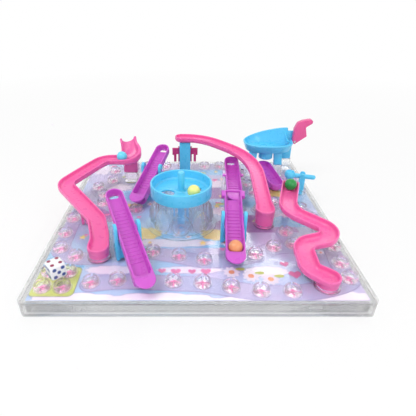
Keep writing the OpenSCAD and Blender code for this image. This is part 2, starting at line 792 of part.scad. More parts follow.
// A ladder in its own frame: pins at the origin, high end along +X
module ladder_body(low, high, depth_at_foot, squared) {
  pin_y = ladder_w / 2 - overlap / 4;
  deep = ladder_depth + ladder_floor + low * sin(ladder_taper) + overlap;
  slot_x = high - ladder_wall - ladder_slot_len / 2 - overlap;
  slot_w = squared ? ladder_inner - ladder_wall : ladder_slot_w;
  outer_r = squared ? ladder_wall : ladder_w / 2;
  inner_r = squared ? ladder_wall : ladder_inner / 2;
  difference() {
    translate([0, 0, rim_over_pin - deep]) linear_extrude(deep) trough_plan(low, high, ladder_w, 0, outer_r);
    ladder_under(low, high, ladder_floor_z - ladder_floor, deep);
    difference() {
      translate([0, 0, rim_over_pin - deep]) linear_extrude(deep + overlap)
        trough_plan(low - foot_t, high - ladder_wall, ladder_inner, ladder_corner_r, inner_r);
      ladder_under(low, high, ladder_floor_z, deep);
    }
    translate([slot_x, 0, rim_over_pin - deep - overlap]) rotate([0, 0, 90])
      stadium(slot_w / 2, slot_w / 2, ladder_slot_len, deep);
    if (squared) translate([slot_x, -slot_w / 2, rim_over_pin - deep - overlap])
      cube([high - slot_x + overlap, slot_w, deep + overlap - window_bar]);
  }
  translate([-low, 0, 0]) rotate([90, 0, 90]) linear_extrude(foot_t) foot_plate(depth_at_foot);
  translate([-low, 0, rim_over_pin - foot_t]) linear_extrude(foot_t) press_pad();
  rotate([0, -ladder_taper, 0])
    for (x = [-low + ladder_w + rung_step : rung_step : high - ladder_w - rung_step])
      translate([x - rung_w / 2, -ladder_inner / 2, ladder_floor_z - overlap / 2])
        cube([rung_w, ladder_inner, rung_h + overlap / 2]);
  for (s = [0, 180]) rotate([0, 0, s]) translate([0, pin_y, 0]) rotate([-90, 0, 0])
    cylinder(d = pin_d, h = yoke_gap + upright_t + ladder_w / 2 - pin_y - carriage_gap);
  ear_x = high - finger_ear_in - finger_ear_len / 2;
  ear_y_middle = ladder_w / 2 + finger_ear / 2 - overlap / 4;
  if (squared) for (s = [-1, 1])
    translate([ear_x, s * ear_y_middle, rim_over_pin - 1.5 * finger_ear])
      block([finger_ear_len, finger_ear + overlap / 2], 1.5 * finger_ear);
}

// End plate at the low end: flat at the rim, round where it stands on the deck
module foot_plate(depth_at_foot) {
  r = ladder_w / 2;
  translate([-r, r - depth_at_foot]) square([2 * r, depth_at_foot - r + rim_over_pin]);
  translate([0, r - depth_at_foot]) circle(r);
}

// Pad at the low end, level with the rim, that a finger presses
module press_pad() {
  r = ladder_w / 2;
  intersection() {
    hull() {
      translate([r - pad_len, 0]) circle(r);
      translate([0, -r]) square([foot_t, 2 * r]);
    }
    translate([-pad_len, -r]) square([pad_len + foot_t, 2 * r]);
  }
}

// Everything below a ladder's floor plane, which comes nearer to the rim at the high end
module ladder_under(low, high, z, deep) {
  rotate([0, -ladder_taper, 0]) translate([-low - deep, -ladder_w, z - 2 * deep])
    cube([low + high + 2 * deep, 2 * ladder_w, 2 * deep]);
}

module placed_ladder(i) {
  l = ladder_places[i];
  on_deck() translate([l[0].x, l[0].y, l[1]]) rotate([0, 0, l[2]]) rotate([0, -l[3], 0]) children();
}

module ladder(i, squared = false) {
  l = ladder_places[i];
  color(purple) placed_ladder(i) ladder_body(l[4], l[5], foot_depth(l), squared);
}

module ladder_front_left() { ladder(0); }
module ladder_back_left() { ladder(1); }
module ladder_right_lower() { ladder(2, true); }
module ladder_right_upper() { ladder(3); }

// A yoke: two uprights with bores for the pins, joined by a web, with a peg under each upright
module yoke(i, tint) {
  l = ladder_places[i];
  top = l[1] + upright_over_pin;
  color(tint) on_deck() translate(l[0]) rotate([0, 0, l[2]]) {
    difference() {
      for (s = [0, 180]) rotate([0, 0, s]) translate([-upright_w / 2, upright_y, 0])
        cube([upright_w, upright_t, top]);
      translate([0, 0, l[1]]) rotate([90, 0, 0])
        cylinder(d = pin_d + 2 * run_gap, h = 4 * upright_y, center = true);
    }
    translate([-upright_w / 4, -upright_y - overlap / 4, 0])
      cube([upright_w / 2, 2 * upright_y + overlap / 2, l[1] - web_drop]);
    for (s = [-1, 1]) translate([0, s * (upright_y + upright_t / 2), -deck_t])
      cylinder(d = peg_d, h = deck_t + overlap);
  }
}

module yoke_front_left() { yoke(0, blue); }
module yoke_back_left() { yoke(1, blue); }
module yoke_right_lower() { yoke(2, blue); }
module yoke_right_upper() { yoke(3, clear); }

// Launcher

// Outline of the bowl: the two circles' common outline, drawn in by an inset
module bowl_outline(inset) {
  d = norm(entry_middle - bowl_middle);
  heading = atan2(entry_middle.y - bowl_middle.y, entry_middle.x - bowl_middle.x);
  lean = acos((bowl_r - entry_r) / d);
  big = [for (i = [0:bowl_steps])
    let (a = heading + lean + (360 - 2 * lean) * i / bowl_steps)
    bowl_middle + (bowl_r - inset) * [cos(a), sin(a)]];
  small = [for (i = [0:bowl_steps / 2])
    let (a = heading - lean + 2 * lean * 2 * i / bowl_steps)
    entry_middle + (entry_r - inset) * [cos(a), sin(a)]];
  polygon(concat(big, small));
}

module launcher_base() {
  rim = 2 * leg_base_rim;
  color(clear) on_deck() {
    for (p = leg_places) translate(p) block([leg_w + rim, leg_d + rim], leg_base_h);
    translate(column_place) block(column_size + [rim, rim], leg_base_h);
  }
}

// Flat panel behind the paddle, which holds its pin
module paddle_ear() {
  ear_h = paddle_pin_h + ear_over_pin - bowl_floor_h;
  translate([0, entry_middle.y + ear_y + ear_t, 0]) rotate([90, 0, 0]) linear_extrude(ear_t) {
    translate([paddle_pin_x, paddle_pin_h]) circle(paddle_hub_r);
    translate([entry_middle.x, bowl_floor_h]) square([paddle_pin_x - entry_middle.x, ear_h]);
  }
}

module launcher_bowl() {
  bottom = bowl_floor_h - bowl_floor_t;
  leg_h = bottom - leg_base_h + overlap;
  guard_from = bowl_middle.x - bowl_r;
  guard_to = entry_middle.x + entry_r;
  color(blue) on_deck() difference() {
    union() {
      translate([0, 0, bottom]) linear_extrude(bowl_rim_h - bottom) bowl_outline(0);
      intersection() {
        translate([0, 0, bottom]) linear_extrude(bowl_rim_h - bottom + guard_rise) bowl_outline(0);
        translate([0, guard_front + 2 * bowl_r, 0]) rotate([90, 0, 0]) linear_extrude(2 * bowl_r)
          polygon([[guard_from, bottom], [guard_to, bottom], [guard_to, bowl_rim_h + guard_rise],
            [guard_from, bowl_rim_h]]);
      }
      translate([tube_middle.x, tube_middle.y, bottom - tube_drop])
        cylinder(d = tube_bore + 2 * tube_wall, h = tube_drop + overlap);
      for (p = leg_places) translate([p.x, p.y, leg_base_h]) block([leg_w, leg_d], leg_h);
      translate([column_place.x, column_place.y, leg_base_h]) block(column_size, leg_h);
      paddle_ear();
    }
    translate([0, 0, bowl_floor_h]) linear_extrude(bowl_depth + guard_rise + overlap)
      bowl_outline(bowl_wall);
    translate([tube_middle.x, tube_middle.y, bottom - tube_drop - overlap])
      cylinder(d = tube_bore, h = tube_drop + bowl_floor_t + 2 * overlap);
    translate([entry_middle.x, entry_middle.y - ear_y, bowl_floor_h])
      cube([guard_to, 2 * ear_y, bowl_depth + guard_rise + overlap]);
    translate([paddle_pin_x, entry_middle.y, paddle_pin_h]) rotate([90, 0, 0])
      cylinder(d = paddle_pin_d + run_gap, h = 4 * ear_y, center = true);
  }
}

module launcher_paddle() {
  color(pink) on_deck() translate([paddle_pin_x, entry_middle.y + paddle_t / 2, paddle_pin_h])
    rotate([90, 0, 0]) linear_extrude(paddle_t) difference() {
      union() {
        circle(paddle_hub_r);
        polygon(paddle_outline);
        translate(paddle_tip) circle(paddle_tip_r);
      }
      circle(d = paddle_pin_d + 2 * run_gap);
    }
}

module paddle_pin() {
  pin_len = paddle_t / 2 + ear_y + ear_t;
  color("silver") on_deck() translate([paddle_pin_x, entry_middle.y + ear_y + ear_t, paddle_pin_h])
    rotate([90, 0, 0]) cylinder(d = paddle_pin_d, h = pin_len);
}

module at_chute() {
  translate([chute_middle.x, chute_middle.y, chute_floor_h]) rotate([0, 0, chute_heading])
    rotate([0, chute_tilt, 0]) children();
}

module drop_chute() {
  half = chute_len / 2;
  inner = chute_w - 2 * ladder_wall;
  color(purple) on_deck() difference() {
    union() {
      at_chute() translate([0, 0, -ladder_floor]) stadium(half, half, chute_w, chute_depth + ladder_floor);
      for (s = [-1, 1]) translate(chute_middle + turned([s * chute_foot, 0], chute_heading))
        rotate([0, 0, chute_heading])
          block([leg_d, leg_w], chute_floor_h - s * chute_foot * sin(chute_tilt));
    }
    at_chute() stadium(half - ladder_wall, half - ladder_wall, inner, chute_depth + overlap);
  }
}

// Flip lever

module at_lever() {
  on_deck() translate(lever_place) rotate([0, 0, lever_heading]) children();
}

module lever_socket() {
  color(clear) at_lever() difference() {
    cylinder(d = spigot_d + 2 * socket_gap + 4 * socket_wall, h = lever_socket_h);
    translate([0, 0, -overlap]) cylinder(d = spigot_d + 2 * socket_gap, h = lever_socket_h + 2 * overlap);
  }
}

module lever_post() {
  width = 2 * (prong_y + prong_t);
  color(blue) at_lever() difference() {
    union() {
      cylinder(d = spigot_d, h = lever_socket_h + overlap);
      translate([0, 0, lever_socket_h])
        block([prong_w, width], lever_h + prong_over_pin - lever_socket_h);
    }
    translate([0, 0, post_shoulder]) block([prong_w + 2 * overlap, 2 * prong_y], lever_h);
    translate([0, 0, lever_h]) rotate([90, 0, 0])
      cylinder(d = lever_pin_d + 2 * run_gap, h = 2 * width, center = true);
  }
}

module flip_lever() {
  pin_len = 2 * (prong_y + prong_t) - carriage_gap;
  color(blue) at_lever() translate([0, 0, lever_h]) difference() {
    union() {
      rotate([90, 0, 0]) cylinder(d = prong_w - lever_trim, h = lever_hub_w, center = true);
      rotate([90, 0, 0]) cylinder(d = lever_pin_d, h = pin_len, center = true);
      translate([-cup_arm, 0, 0]) rotate([0, 90, 0]) cylinder(d = rod_d, h = cup_arm + rod_arm);
      translate([rod_arm, 0, 0]) sphere(d = rod_d);
      translate([-cup_arm, 0, -lever_cup_low]) cylinder(r = lever_cup_r, h = 2 * lever_cup_low);
    }
    translate([-cup_arm, 0, seat_r - lever_cup_low + lever_seat_up]) sphere(seat_r);
  }
}

// Loose pieces

module ball(tint, place, floor_h) {
  color(tint) on_deck() translate([place.x, place.y, floor_h + ball_d / 2 + rest_gap])
    sphere(d = ball_d);
}

module ball_light_blue() { ball("deepskyblue", ball_on_zigzag, ball_on_zigzag.z); }
module ball_green() { ball("green", ball_on_s, ball_on_s.z); }
module ball_yellow() { ball("khaki", ball_in_drum, drum_floor_z); }

module ball_orange() {
  from_end = foot_t + ball_d / 2 + rest_gap;
  color("sandybrown") placed_ladder(2)
    translate([from_end - ladder_places[2][4], 0, ladder_floor_z + ball_d / 2 + rest_gap])
      sphere(d = ball_d);
}

// Pip places on a face, as steps from its middle
function pips(n) = concat(
  n % 2 == 1 ? [[0, 0]] : [],
  n > 1 ? [[-1, -1], [1, 1]] : [],
  n > 3 ? [[-1, 1], [1, -1]] : [],
  n == 6 ? [[-1, 0], [1, 0]] : []
);

module face_pips(n) {
  for (p = pips(n)) translate([p.x * pip_step, p.y * pip_step, die_w / 2 - pip_depth])
    cylinder(d = pip_d, h = pip_depth + overlap);
}

module die() {
  place = home_middle + die_off;
  color("white") on_deck() translate([place.x, place.y, cup_h + rest_gap + die_w / 2])
    rotate([0, 0, die_turn]) difference() {
      intersection() {
        cube(die_w, center = true);
        sphere(d = die_rounding * die_w);
      }
      face_pips(4);
      rotate([180, 0, 0]) face_pips(3);
      rotate([90, 0, 0]) face_pips(5);
      rotate([-90, 0, 0]) face_pips(2);
      rotate([0, -90, 0]) face_pips(6);
      rotate([0, 90, 0]) face_pips(1);
    }
}

base_tray();
printed_card();
top_deck();
cell_cups();
slide_sockets();
drum_pedestal();
drum_bearing();
spinner_drum();
tower_pedestal();
zigzag_slide();
s_slide();
arch_slide();
arch_post();
lift_carriage();
ladder_front_left();
ladder_back_left();
ladder_right_lower();
ladder_right_upper();
yoke_front_left();
yoke_back_left();
yoke_right_lower();
yoke_right_upper();
launcher_base();
launcher_bowl();
launcher_paddle();
paddle_pin();
drop_chute();
lever_socket();
lever_post();
flip_lever();
ball_light_blue();
ball_yellow();
ball_orange();
ball_green();
die();
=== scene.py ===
"""Looks of the marble snakes and ladders game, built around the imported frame."""
import json
import math
import random

import bmesh
import bpy
from mathutils import Matrix, Vector


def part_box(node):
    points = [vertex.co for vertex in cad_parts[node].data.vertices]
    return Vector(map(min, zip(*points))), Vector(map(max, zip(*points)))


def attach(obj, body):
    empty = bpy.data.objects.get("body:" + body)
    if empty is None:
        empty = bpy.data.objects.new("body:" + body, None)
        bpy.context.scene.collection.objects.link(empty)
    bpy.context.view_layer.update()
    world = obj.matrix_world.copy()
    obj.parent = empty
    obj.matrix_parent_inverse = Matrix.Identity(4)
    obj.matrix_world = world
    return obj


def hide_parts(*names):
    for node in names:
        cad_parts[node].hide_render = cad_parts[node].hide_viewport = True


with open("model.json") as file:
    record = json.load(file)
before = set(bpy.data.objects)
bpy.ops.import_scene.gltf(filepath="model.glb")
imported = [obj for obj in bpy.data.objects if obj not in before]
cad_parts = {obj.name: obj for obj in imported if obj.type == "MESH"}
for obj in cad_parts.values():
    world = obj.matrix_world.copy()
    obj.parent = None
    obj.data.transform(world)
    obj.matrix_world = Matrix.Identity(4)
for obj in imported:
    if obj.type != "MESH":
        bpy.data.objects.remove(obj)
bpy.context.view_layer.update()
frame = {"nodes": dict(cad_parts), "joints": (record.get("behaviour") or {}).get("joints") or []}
scene = bpy.context.scene

# Sizes in millimetres, in the part's own frame
MM = 0.001
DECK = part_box("cell_cups")[0].z / MM
CARD_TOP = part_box("printed_card")[1].z / MM
CARD_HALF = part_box("printed_card")[1].x / MM
JOINTS = {j["name"]: j for j in frame["joints"]}
# Gap under a piece that stands on another, and distances within which points of a mesh are joined
SEAT = 0.02
WELD = 0.002
SLIVER = 0.001
# Angle in degrees above which an edge is shaded sharp
SHARP = 38


def pivot(joint):
    """Place of a hinge, in millimetres."""
    return Vector(JOINTS[joint]["pos_m"]) / MM


def box_middle(node):
    low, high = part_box(node)
    return (low + high) / 2 / MM


# Trough and end cup sizes
TROUGH = {"width": 17.8, "wall": 1.6, "floor": 1.6, "depth": 5.4}
ARCH = {**TROUGH, "width": 16.4}
FILLET = 3.0
CUP_R = 9.8
CUP_FOOT_R = 9
CUP_WALL = 1.2
CUP_FLOOR = 0.8
SOCKET_H = 3
# Angles beside the entry, between which a cup's wall rises to its rim
CUP_ENTRY = (math.radians(70), math.radians(86))

# Plan routes of the slides, corner radii, and heights of the channel's floor above the deck
ZIGZAG_ROUTE = [(-81, 82), (-71, 62), (-107, 66), (-142, 10), (-96, -44), (-88.5, -68), (-87.5, -81)]
ZIGZAG_RADII = [11, 14, 14, 14, 20]
ZIGZAG_HEIGHTS = (32.4, 7)
ZIGZAG_FALL = 1.7
ZIGZAG_LEG = (-113, -25, 18)
RAMP_RISE = 18
RAMP_LEN = 21
RAMP_SHARE = 0.4
LANDING_LEN = 34
LANDING_FLARE = 0.8
LANDING_DROP = 3
LANDING_WALL = 0.9
LANDING_FILLET = 1.2
S_ROUTE = [(103, 6), (89, -39), (138, -74.5), (93, -81), (93, -111), (105.5, -120)]
S_RADII = [20, 10.8, 12, 10.8]
S_HEIGHTS = (27.6, 5.6)
S_LEG = (99.6, -2, S_HEIGHTS[0] - 0.5)
ARCH_ROUTE = [(-15, 107.5), (10, 107.5), (70, 60), (71, -27)]
ARCH_RADII = [60, 70]
ARCH_HEIGHTS = (43.6, 14)
ARCH_FALL = 2
ARCH_BOSS = {"width": 12, "depth": 7, "top": 43}
LEG = {"width": 7, "slot": 2, "depth": 5}

# Post of the arch, and the tower block under the zigzag's ramp, with heights above the deck
POST = {"width": 14, "depth": 9, "height": 40.8, "groove": 2.4, "groove_depth": 2}
POST_PLACE = (-10.5, 107.5)
TOWER = {"width": 16.6, "depth": 13, "low": 14, "high": 37.8, "edge": 0.7, "gap": 0.8, "clear_wall": 1.8}
TOWER_PLACE = Vector((-77.7, 78))

# Launcher's legs, column and drop tube, and the clear blocks under them
LEG_PLACES = ((75, 94), (109, 93))
LEG_SIZE = (10, 6)
COLUMN_PLACE = (124, 117)
COLUMN_SIZE = (12, 11)
TUBE_PLACE = (93.5, 98)
BLOCK_H = 16
BLOCK_MARGIN = 1

# Cell at the low end of the back left ladder
FOOT_CELL = (-64.4, 3.95)

# Cells along the track, as the runs of lane that join them, and the home square
LANES = [
    [(-87.5, -116), (-66, -113), (-42, -113.5), (-19.5, -115), (4.5, -116.5), (27.5, -121.5), (51, -126),
     (76, -126.5), (104, -122), (127, -111), (127, -91), (129, -66), (128, -41), (124, -16), (118, 6)],
    [(90, -42), (92, -63), (73, -67), (54, -78), (31, -84), (7, -86), (-15.5, -80), (-39.5, -74)],
    [(-87.5, -81), (-108.8, -81.2), (-126, -69), (-128.7, -44), (-128, -16), (-119, 6), (-103, 17),
     (-81, 3), FOOT_CELL],
    [(-106, 37), (-116.4, 57), (-102, 76), (-104, 105), (-84, 121), (-60, 123), (-37, 122), (-13, 127),
     (16.4, 122), (37, 122), (58, 112), (60, 88), (66, 66), (73, 44), (90, 20), (72, 4)],
]
# Places on a lane where no cup stands, because a slide or a ladder ends there
BARE_PLACES = [(-42, -113.5), (104, -122), (31, -84), (-87.5, -81)]
HOME = Vector((-117.3, -112.5, 0))
HOME_STEP = (8.2, 9.2)


# Shapes: each helper gives vertices in millimetres and faces

class Shape:
    """Vertices and faces of one piece, gathered from several plain shapes."""

    def __init__(self):
        self.verts = []
        self.faces = []

    def add(self, part, place=Matrix.Identity(4)):
        verts, faces = part
        base = len(self.verts)
        self.verts += [place @ Vector(v) for v in verts]
        self.faces += [[base + i for i in f] for f in faces]
        return self

    def moved(self, place):
        return Shape().add((self.verts, self.faces), place)


def turned(degrees, axis):
    return Matrix.Rotation(math.radians(degrees), 4, axis)


def at(x, y, z=0, yaw=0, pitch=0):
    """Placement: turned about Y, then about Z, then moved. Angles in degrees."""
    return Matrix.Translation((x, y, z)) @ turned(yaw, "Z") @ turned(pitch, "Y")


ALONG_X = turned(90, "Y")
ALONG_Y = turned(90, "X")
# Turns an outline's X to Y and its Y to Z, so that it is extruded along X
ALONG_Y_Z = Matrix(((0, 0, 1, 0), (1, 0, 0, 0), (0, 1, 0, 0), (0, 0, 0, 1)))


def around(steps):
    """Angles of a whole turn."""
    return [2 * math.pi * i / steps for i in range(steps)]


def facing(angle):
    return Vector((math.cos(angle), math.sin(angle)))


def arc(x, z, radius, start, end, steps=6):
    """Points of an arc in a profile, angles in degrees."""
    angles = [math.radians(start + (end - start) * i / steps) for i in range(steps + 1)]
    return [(x + radius * math.cos(a), z + radius * math.sin(a)) for a in angles]


def grid(rings, closed=True, looped=False, caps=True):
    """Skin through rings of points. closed joins a ring's ends, looped joins the last ring to the first."""
    n = len(rings[0])
    verts = [p for ring in rings for p in ring]
    faces = []
    last = len(rings) if looped else len(rings) - 1
    for i in range(last):
        here, there = i * n, (i + 1) % len(rings) * n
        for j in range(n if closed else n - 1):
            k = (j + 1) % n
            faces.append([here + j, here + k, there + k, there + j])
    if caps and not looped:
        faces += [list(range(n)), [(len(rings) - 1) * n + j for j in range(n)]]
    return verts, faces


def lathe(profile, steps=64, start=0, turn=360, closed=True):
    """Profile of (radius, height) points turned about Z, with flat ends where the turn isn't whole."""
    whole = abs(turn) >= 360
    count = steps if whole else steps + 1
    rings = []
    for i in range(count):
        a = math.radians(start + turn * i / steps)
        rings.append([(r * math.cos(a), r * math.sin(a), z) for r, z in profile])
    return grid(rings, closed=closed, looped=whole, caps=not whole)


def bevelled(part, radius, segments=3, angle=25):
    """The same shape with its sharp edges rounded."""
    bm = bmesh.new()
    verts = [bm.verts.new(v) for v in part[0]]
    for f in part[1]:
        bm.faces.new([verts[i] for i in f])
    bmesh.ops.recalc_face_normals(bm, faces=bm.faces)
    sharp = [e for e in bm.edges if len(e.link_faces) == 2 and e.calc_face_angle() > math.radians(angle)]
    bmesh.ops.bevel(bm, geom=sharp, offset=radius, segments=segments, affect="EDGES", profile=0.5,
                    clamp_overlap=True)
    bm.verts.index_update()
    result = [v.co.copy() for v in bm.verts], [[v.index for v in f.verts] for f in bm.faces]
    bm.free()
    return result


def prism(outline, low, high):
    """Outline in the XY plane, from one height to another."""
    return grid([[(x, y, low) for x, y in outline], [(x, y, high) for x, y in outline]])


def soft_prism(outline, low, high, radius=0.5):
    return bevelled(prism(outline, low, high), radius)


def soft_box(width, depth, low, high, radius=0.6):
    x, y = width / 2, depth / 2
    return soft_prism([(-x, -y), (x, -y), (x, y), (-x, y)], low, high, radius)


def disc_outline(x, y, radius, steps=20):
    return [(x + radius * math.cos(a), y + radius * math.sin(a)) for a in around(steps)]


def ball_shape(radius, steps=48):
    """A sphere turned from a half circle."""
    return lathe(arc(0, 0, radius, -90, 90, steps // 2), steps, closed=False)


def bore(radius, low, high, steps=24):
    """Plain round rod along Z, for cutting a hole."""
    return lathe([(0, low), (radius, low), (radius, high), (0, high)], steps, closed=False)


def rod(radius, start, end, rounding=0.5, steps=32):
    """Round rod along Z with rounded ends."""
    profile = [(0, start)] + arc(radius - rounding, start + rounding, rounding, -90, 0, 3)
    profile += arc(radius - rounding, end - rounding, rounding, 0, 90, 3) + [(0, end)]
    return lathe(profile, steps, closed=False)


def fill_mesh(mesh, shape):
    """Puts a shape into a mesh in metres, with points that meet joined and faces turned outwards."""
    mesh.from_pydata([Vector(v) * MM for v in shape.verts], [], shape.faces)
    bm = bmesh.new()
    bm.from_mesh(mesh)
    bmesh.ops.remove_doubles(bm, verts=bm.verts, dist=WELD * MM)
    bmesh.ops.dissolve_degenerate(bm, edges=bm.edges, dist=SLIVER * MM)
    bmesh.ops.recalc_face_normals(bm, faces=bm.faces)
    bm.to_mesh(mesh)
    bm.free()


def shade(mesh, sharp=SHARP):
    mesh.shade_smooth()
    mesh.set_sharp_from_angle(angle=math.radians(sharp))


def build(name, shape, body, material, replaces=(), sharp=SHARP):
    """One piece in the scene, in metres, which rides on a body."""
    mesh = bpy.data.meshes.new(name)
    fill_mesh(mesh, shape)
    shade(mesh, sharp)
    mesh.materials.append(material)
    obj = bpy.data.objects.new(name, mesh)
    scene.collection.objects.link(obj)
    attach(obj, body)
    if replaces:
        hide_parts(*replaces)
    return obj


def cut(obj, shape):
    """Takes a shape away from a piece."""
    cutter_mesh = bpy.data.meshes.new("cutter")
    fill_mesh(cutter_mesh, shape)
    cutter = bpy.data.objects.new("cutter", cutter_mesh)
    scene.collection.objects.link(cutter)
    modifier = obj.modifiers.new("cut", "BOOLEAN")
    modifier.operation = "DIFFERENCE"
    modifier.object = cutter
    modifier.solver = "EXACT"
    graph = bpy.context.evaluated_depsgraph_get()
    old, obj.data = obj.data, bpy.data.meshes.new_from_object(obj.evaluated_get(graph))
    obj.modifiers.clear()
    bpy.data.meshes.remove(old)
    bpy.data.objects.remove(cutter)
    shade(obj.data)


# Materials, with colours in screen values from 0 to 255

def srgb(r, g, b):
    """A screen colour as the renderer's linear values."""
    def linear(c):
        c /= 255
        return c / 12.92 if c <= 0.04045 else ((c + 0.055) / 1.055) ** 2.4
    return linear(r), linear(g), linear(b), 1.0


class Tree:
    """A node tree with short ways to add nodes."""

    def __init__(self, owner):
        owner.use_nodes = True
        self.nodes = owner.node_tree.nodes
        self.links = owner.node_tree.links

    def put(self, socket, value):
        """Gives a socket a plain value, or links another node's output to it."""
        if isinstance(value, bpy.types.NodeSocket):
            self.links.new(value, socket)
        else:
            socket.default_value = value

    def fill(self, node, **inputs):
        for name, value in inputs.items():
            self.put(node.inputs[name.replace("_", " ").title().replace("Ior", "IOR")], value)
        return node

    def add(self, kind, **inputs):
        return self.fill(self.nodes.new("ShaderNode" + kind), **inputs)

    def calculate(self, operation, first, second):
        node = self.add("Math")
        node.operation = operation
        self.put(node.inputs[0], first)
        self.put(node.inputs[1], second)
        return node.outputs[0]

    def show_mix(self, share, first, second, output="Material Output"):
        """Shows a shader that goes from the first to the second with the share."""
        node = self.add("MixShader", fac=share)
        self.put(node.inputs[1], first)
        self.put(node.inputs[2], second)
        self.fill(self.nodes[output], surface=node.outputs["Shader"])

    def seen_directly(self):
        """1 where the camera, a reflection or a clear piece shows the backdrop, 0 where it gives light."""
        path = self.add("LightPath").outputs
        glossy = self.calculate("MAXIMUM", path["Is Camera Ray"], path["Is Glossy Ray"])
        return self.calculate("MAXIMUM", glossy, path["Is Transmission Ray"])


class Surface(Tree):
    """A material's node tree around its main shader."""

    def __init__(self, name):
        self.material = bpy.data.materials.new(name)
        super().__init__(self.material)
        self.shader = self.nodes["Principled BSDF"]
        self.where = self.add("TexCoord").outputs["Object"]

    def set(self, **inputs):
        self.fill(self.shader, **inputs)

    def noise(self, scale, detail=3.0, rough=0.55):
        node = self.add("TexNoise", scale=scale, detail=detail, roughness=rough, vector=self.where)
        return node.outputs["Fac"]

    def spread(self, value, low, high, start=0.3, end=0.7):
        node = self.add("MapRange", value=value, from_min=start, from_max=end, to_min=low, to_max=high)
        return node.outputs["Result"]

    def blend(self, share, first, second):
        """Mix of two colours, which are inputs 6 and 7 of the node."""
        node = self.add("Mix", factor=share)
        node.data_type = "RGBA"
        self.put(node.inputs[6], first)
        self.put(node.inputs[7], second)
        return node.outputs[2]

    def bump(self, height, strength, distance):
        node = self.add("Bump", strength=strength, distance=distance, height=height)
        self.set(normal=node.outputs["Normal"])


def plastic(name, colour, deep, roughness=(0.24, 0.36)):
    """Moulded plastic: flow marks in the colour, a fine mould texture, and a soft glow in thin walls."""
    s = Surface(name)
    flow = s.spread(s.noise(22, 4), 0.0, 0.45)
    s.set(base_color=s.blend(flow, srgb(*colour), srgb(*deep)))
    s.set(roughness=s.spread(s.noise(160, 3), *roughness))
    s.set(subsurface_weight=0.18, subsurface_scale=0.002, subsurface_radius=(1.0, 0.6, 0.7))
    s.set(coat_weight=0.2, coat_roughness=0.12)
    s.bump(s.noise(900, 2), 0.05, 0.0001)
    return s.material


def clear_plastic(name, tint, solid=0.6, ior=1.47, waviness=0.04, roughness=0.03):
    """Clear moulded plastic that lets the lamps through; its thin walls bend only part of the light."""
    s = Surface(name)
    s.set(base_color=tint, roughness=roughness, transmission_weight=1.0, ior=ior, alpha=solid)
    s.bump(s.noise(55, 2), waviness, 0.0004)
    open_to_lamps = s.add("BsdfTransparent", color=(0.94, 0.95, 0.96, 1)).outputs["BSDF"]
    to_lamp = s.add("LightPath").outputs["Is Shadow Ray"]
    s.show_mix(to_lamp, s.shader.outputs["BSDF"], open_to_lamps)
    return s.material


def ink(name, colour, second, scale=26, roughness=0.5):
    """Printed colour on card: soft shading between two tones, with the grain of the paper."""
    s = Surface(name)
    soft = s.spread(s.noise(scale, 3), 0.0, 1.0, 0.36, 0.64)
    tone = s.blend(soft, srgb(*colour), srgb(*second))
    grain = s.spread(s.noise(1400, 1), 0.0, 0.12)
    s.set(base_color=s.blend(grain, tone, (0.95, 0.93, 0.95, 1)))
    s.set(roughness=s.spread(s.noise(700, 2), roughness - 0.06, roughness + 0.06))
    return s.material


def steel(name):
    """Drawn steel wire with fine scratches."""
    s = Surface(name)
    shine = s.spread(s.noise(400, 2), 0.0, 1.0)
    s.set(base_color=s.blend(shine, srgb(205, 206, 210), srgb(180, 181, 186)))
    s.set(metallic=1.0, roughness=s.spread(s.noise(900, 2), 0.25, 0.4))
    return s.material


POLISHED = (0.16, 0.24)
PAINTED = (0.3, 0.4)
PINK = plastic("pink_plastic", (247, 110, 180), (240, 94, 166))
MAGENTA = plastic("magenta_plastic", (214, 62, 134), (196, 48, 116))
PURPLE = plastic("purple_plastic", (212, 92, 210), (200, 78, 196))
BLUE = plastic("blue_plastic", (96, 210, 250), (86, 200, 243))
MILKY = plastic("hub_milky_plastic", (128, 198, 242), (110, 184, 236))
PINK_DEEP = plastic("deep_pink_plastic", (236, 88, 156), (226, 74, 142))
CLEAR = clear_plastic("clear_plastic", (0.985, 0.99, 1.0, 1))
CLEAR_TRAY = clear_plastic("clear_tray_plastic", (0.84, 0.84, 0.84, 1), 0.72, 1.36)
CLEAR_DECK = clear_plastic("clear_deck_plastic", (0.95, 0.95, 0.95, 1), 0.5, 1.26)
CLEAR_BLUE = clear_plastic("clear_pedestal_plastic", (0.88, 0.96, 1.0, 1), 0.8, 1.42, 0.25)
CLEAR_CUP = clear_plastic("clear_cup_plastic", (0.98, 0.98, 1.0, 1), 0.66, 1.44)
BALL_BLUE = plastic("ball_light_blue_plastic", (112, 224, 252), (98, 212, 246), POLISHED)
BALL_YELLOW = plastic("ball_yellow_plastic", (246, 248, 152), (236, 240, 132), POLISHED)
BALL_ORANGE = plastic("ball_orange_plastic", (242, 164, 114), (232, 148, 96), POLISHED)
BALL_GREEN = plastic("ball_green_plastic", (8, 152, 66), (6, 134, 56), POLISHED)
DIE_WHITE = plastic("die_white_plastic", (246, 246, 250), (236, 236, 244), (0.18, 0.28))
PIP_RED = plastic("pip_maroon_paint", (150, 24, 76), (126, 16, 60), PAINTED)
PIP_BLUE = plastic("pip_blue_paint", (38, 72, 150), (26, 54, 126), PAINTED)
STEEL = steel("pin_steel")


# Slides

def smooth(value, low, high):
    """Share from 0 to 1 that eases in and out between two values."""
    share = min(1, max(0, (value - low) / (high - low)))
    return share * share * (3 - 2 * share)


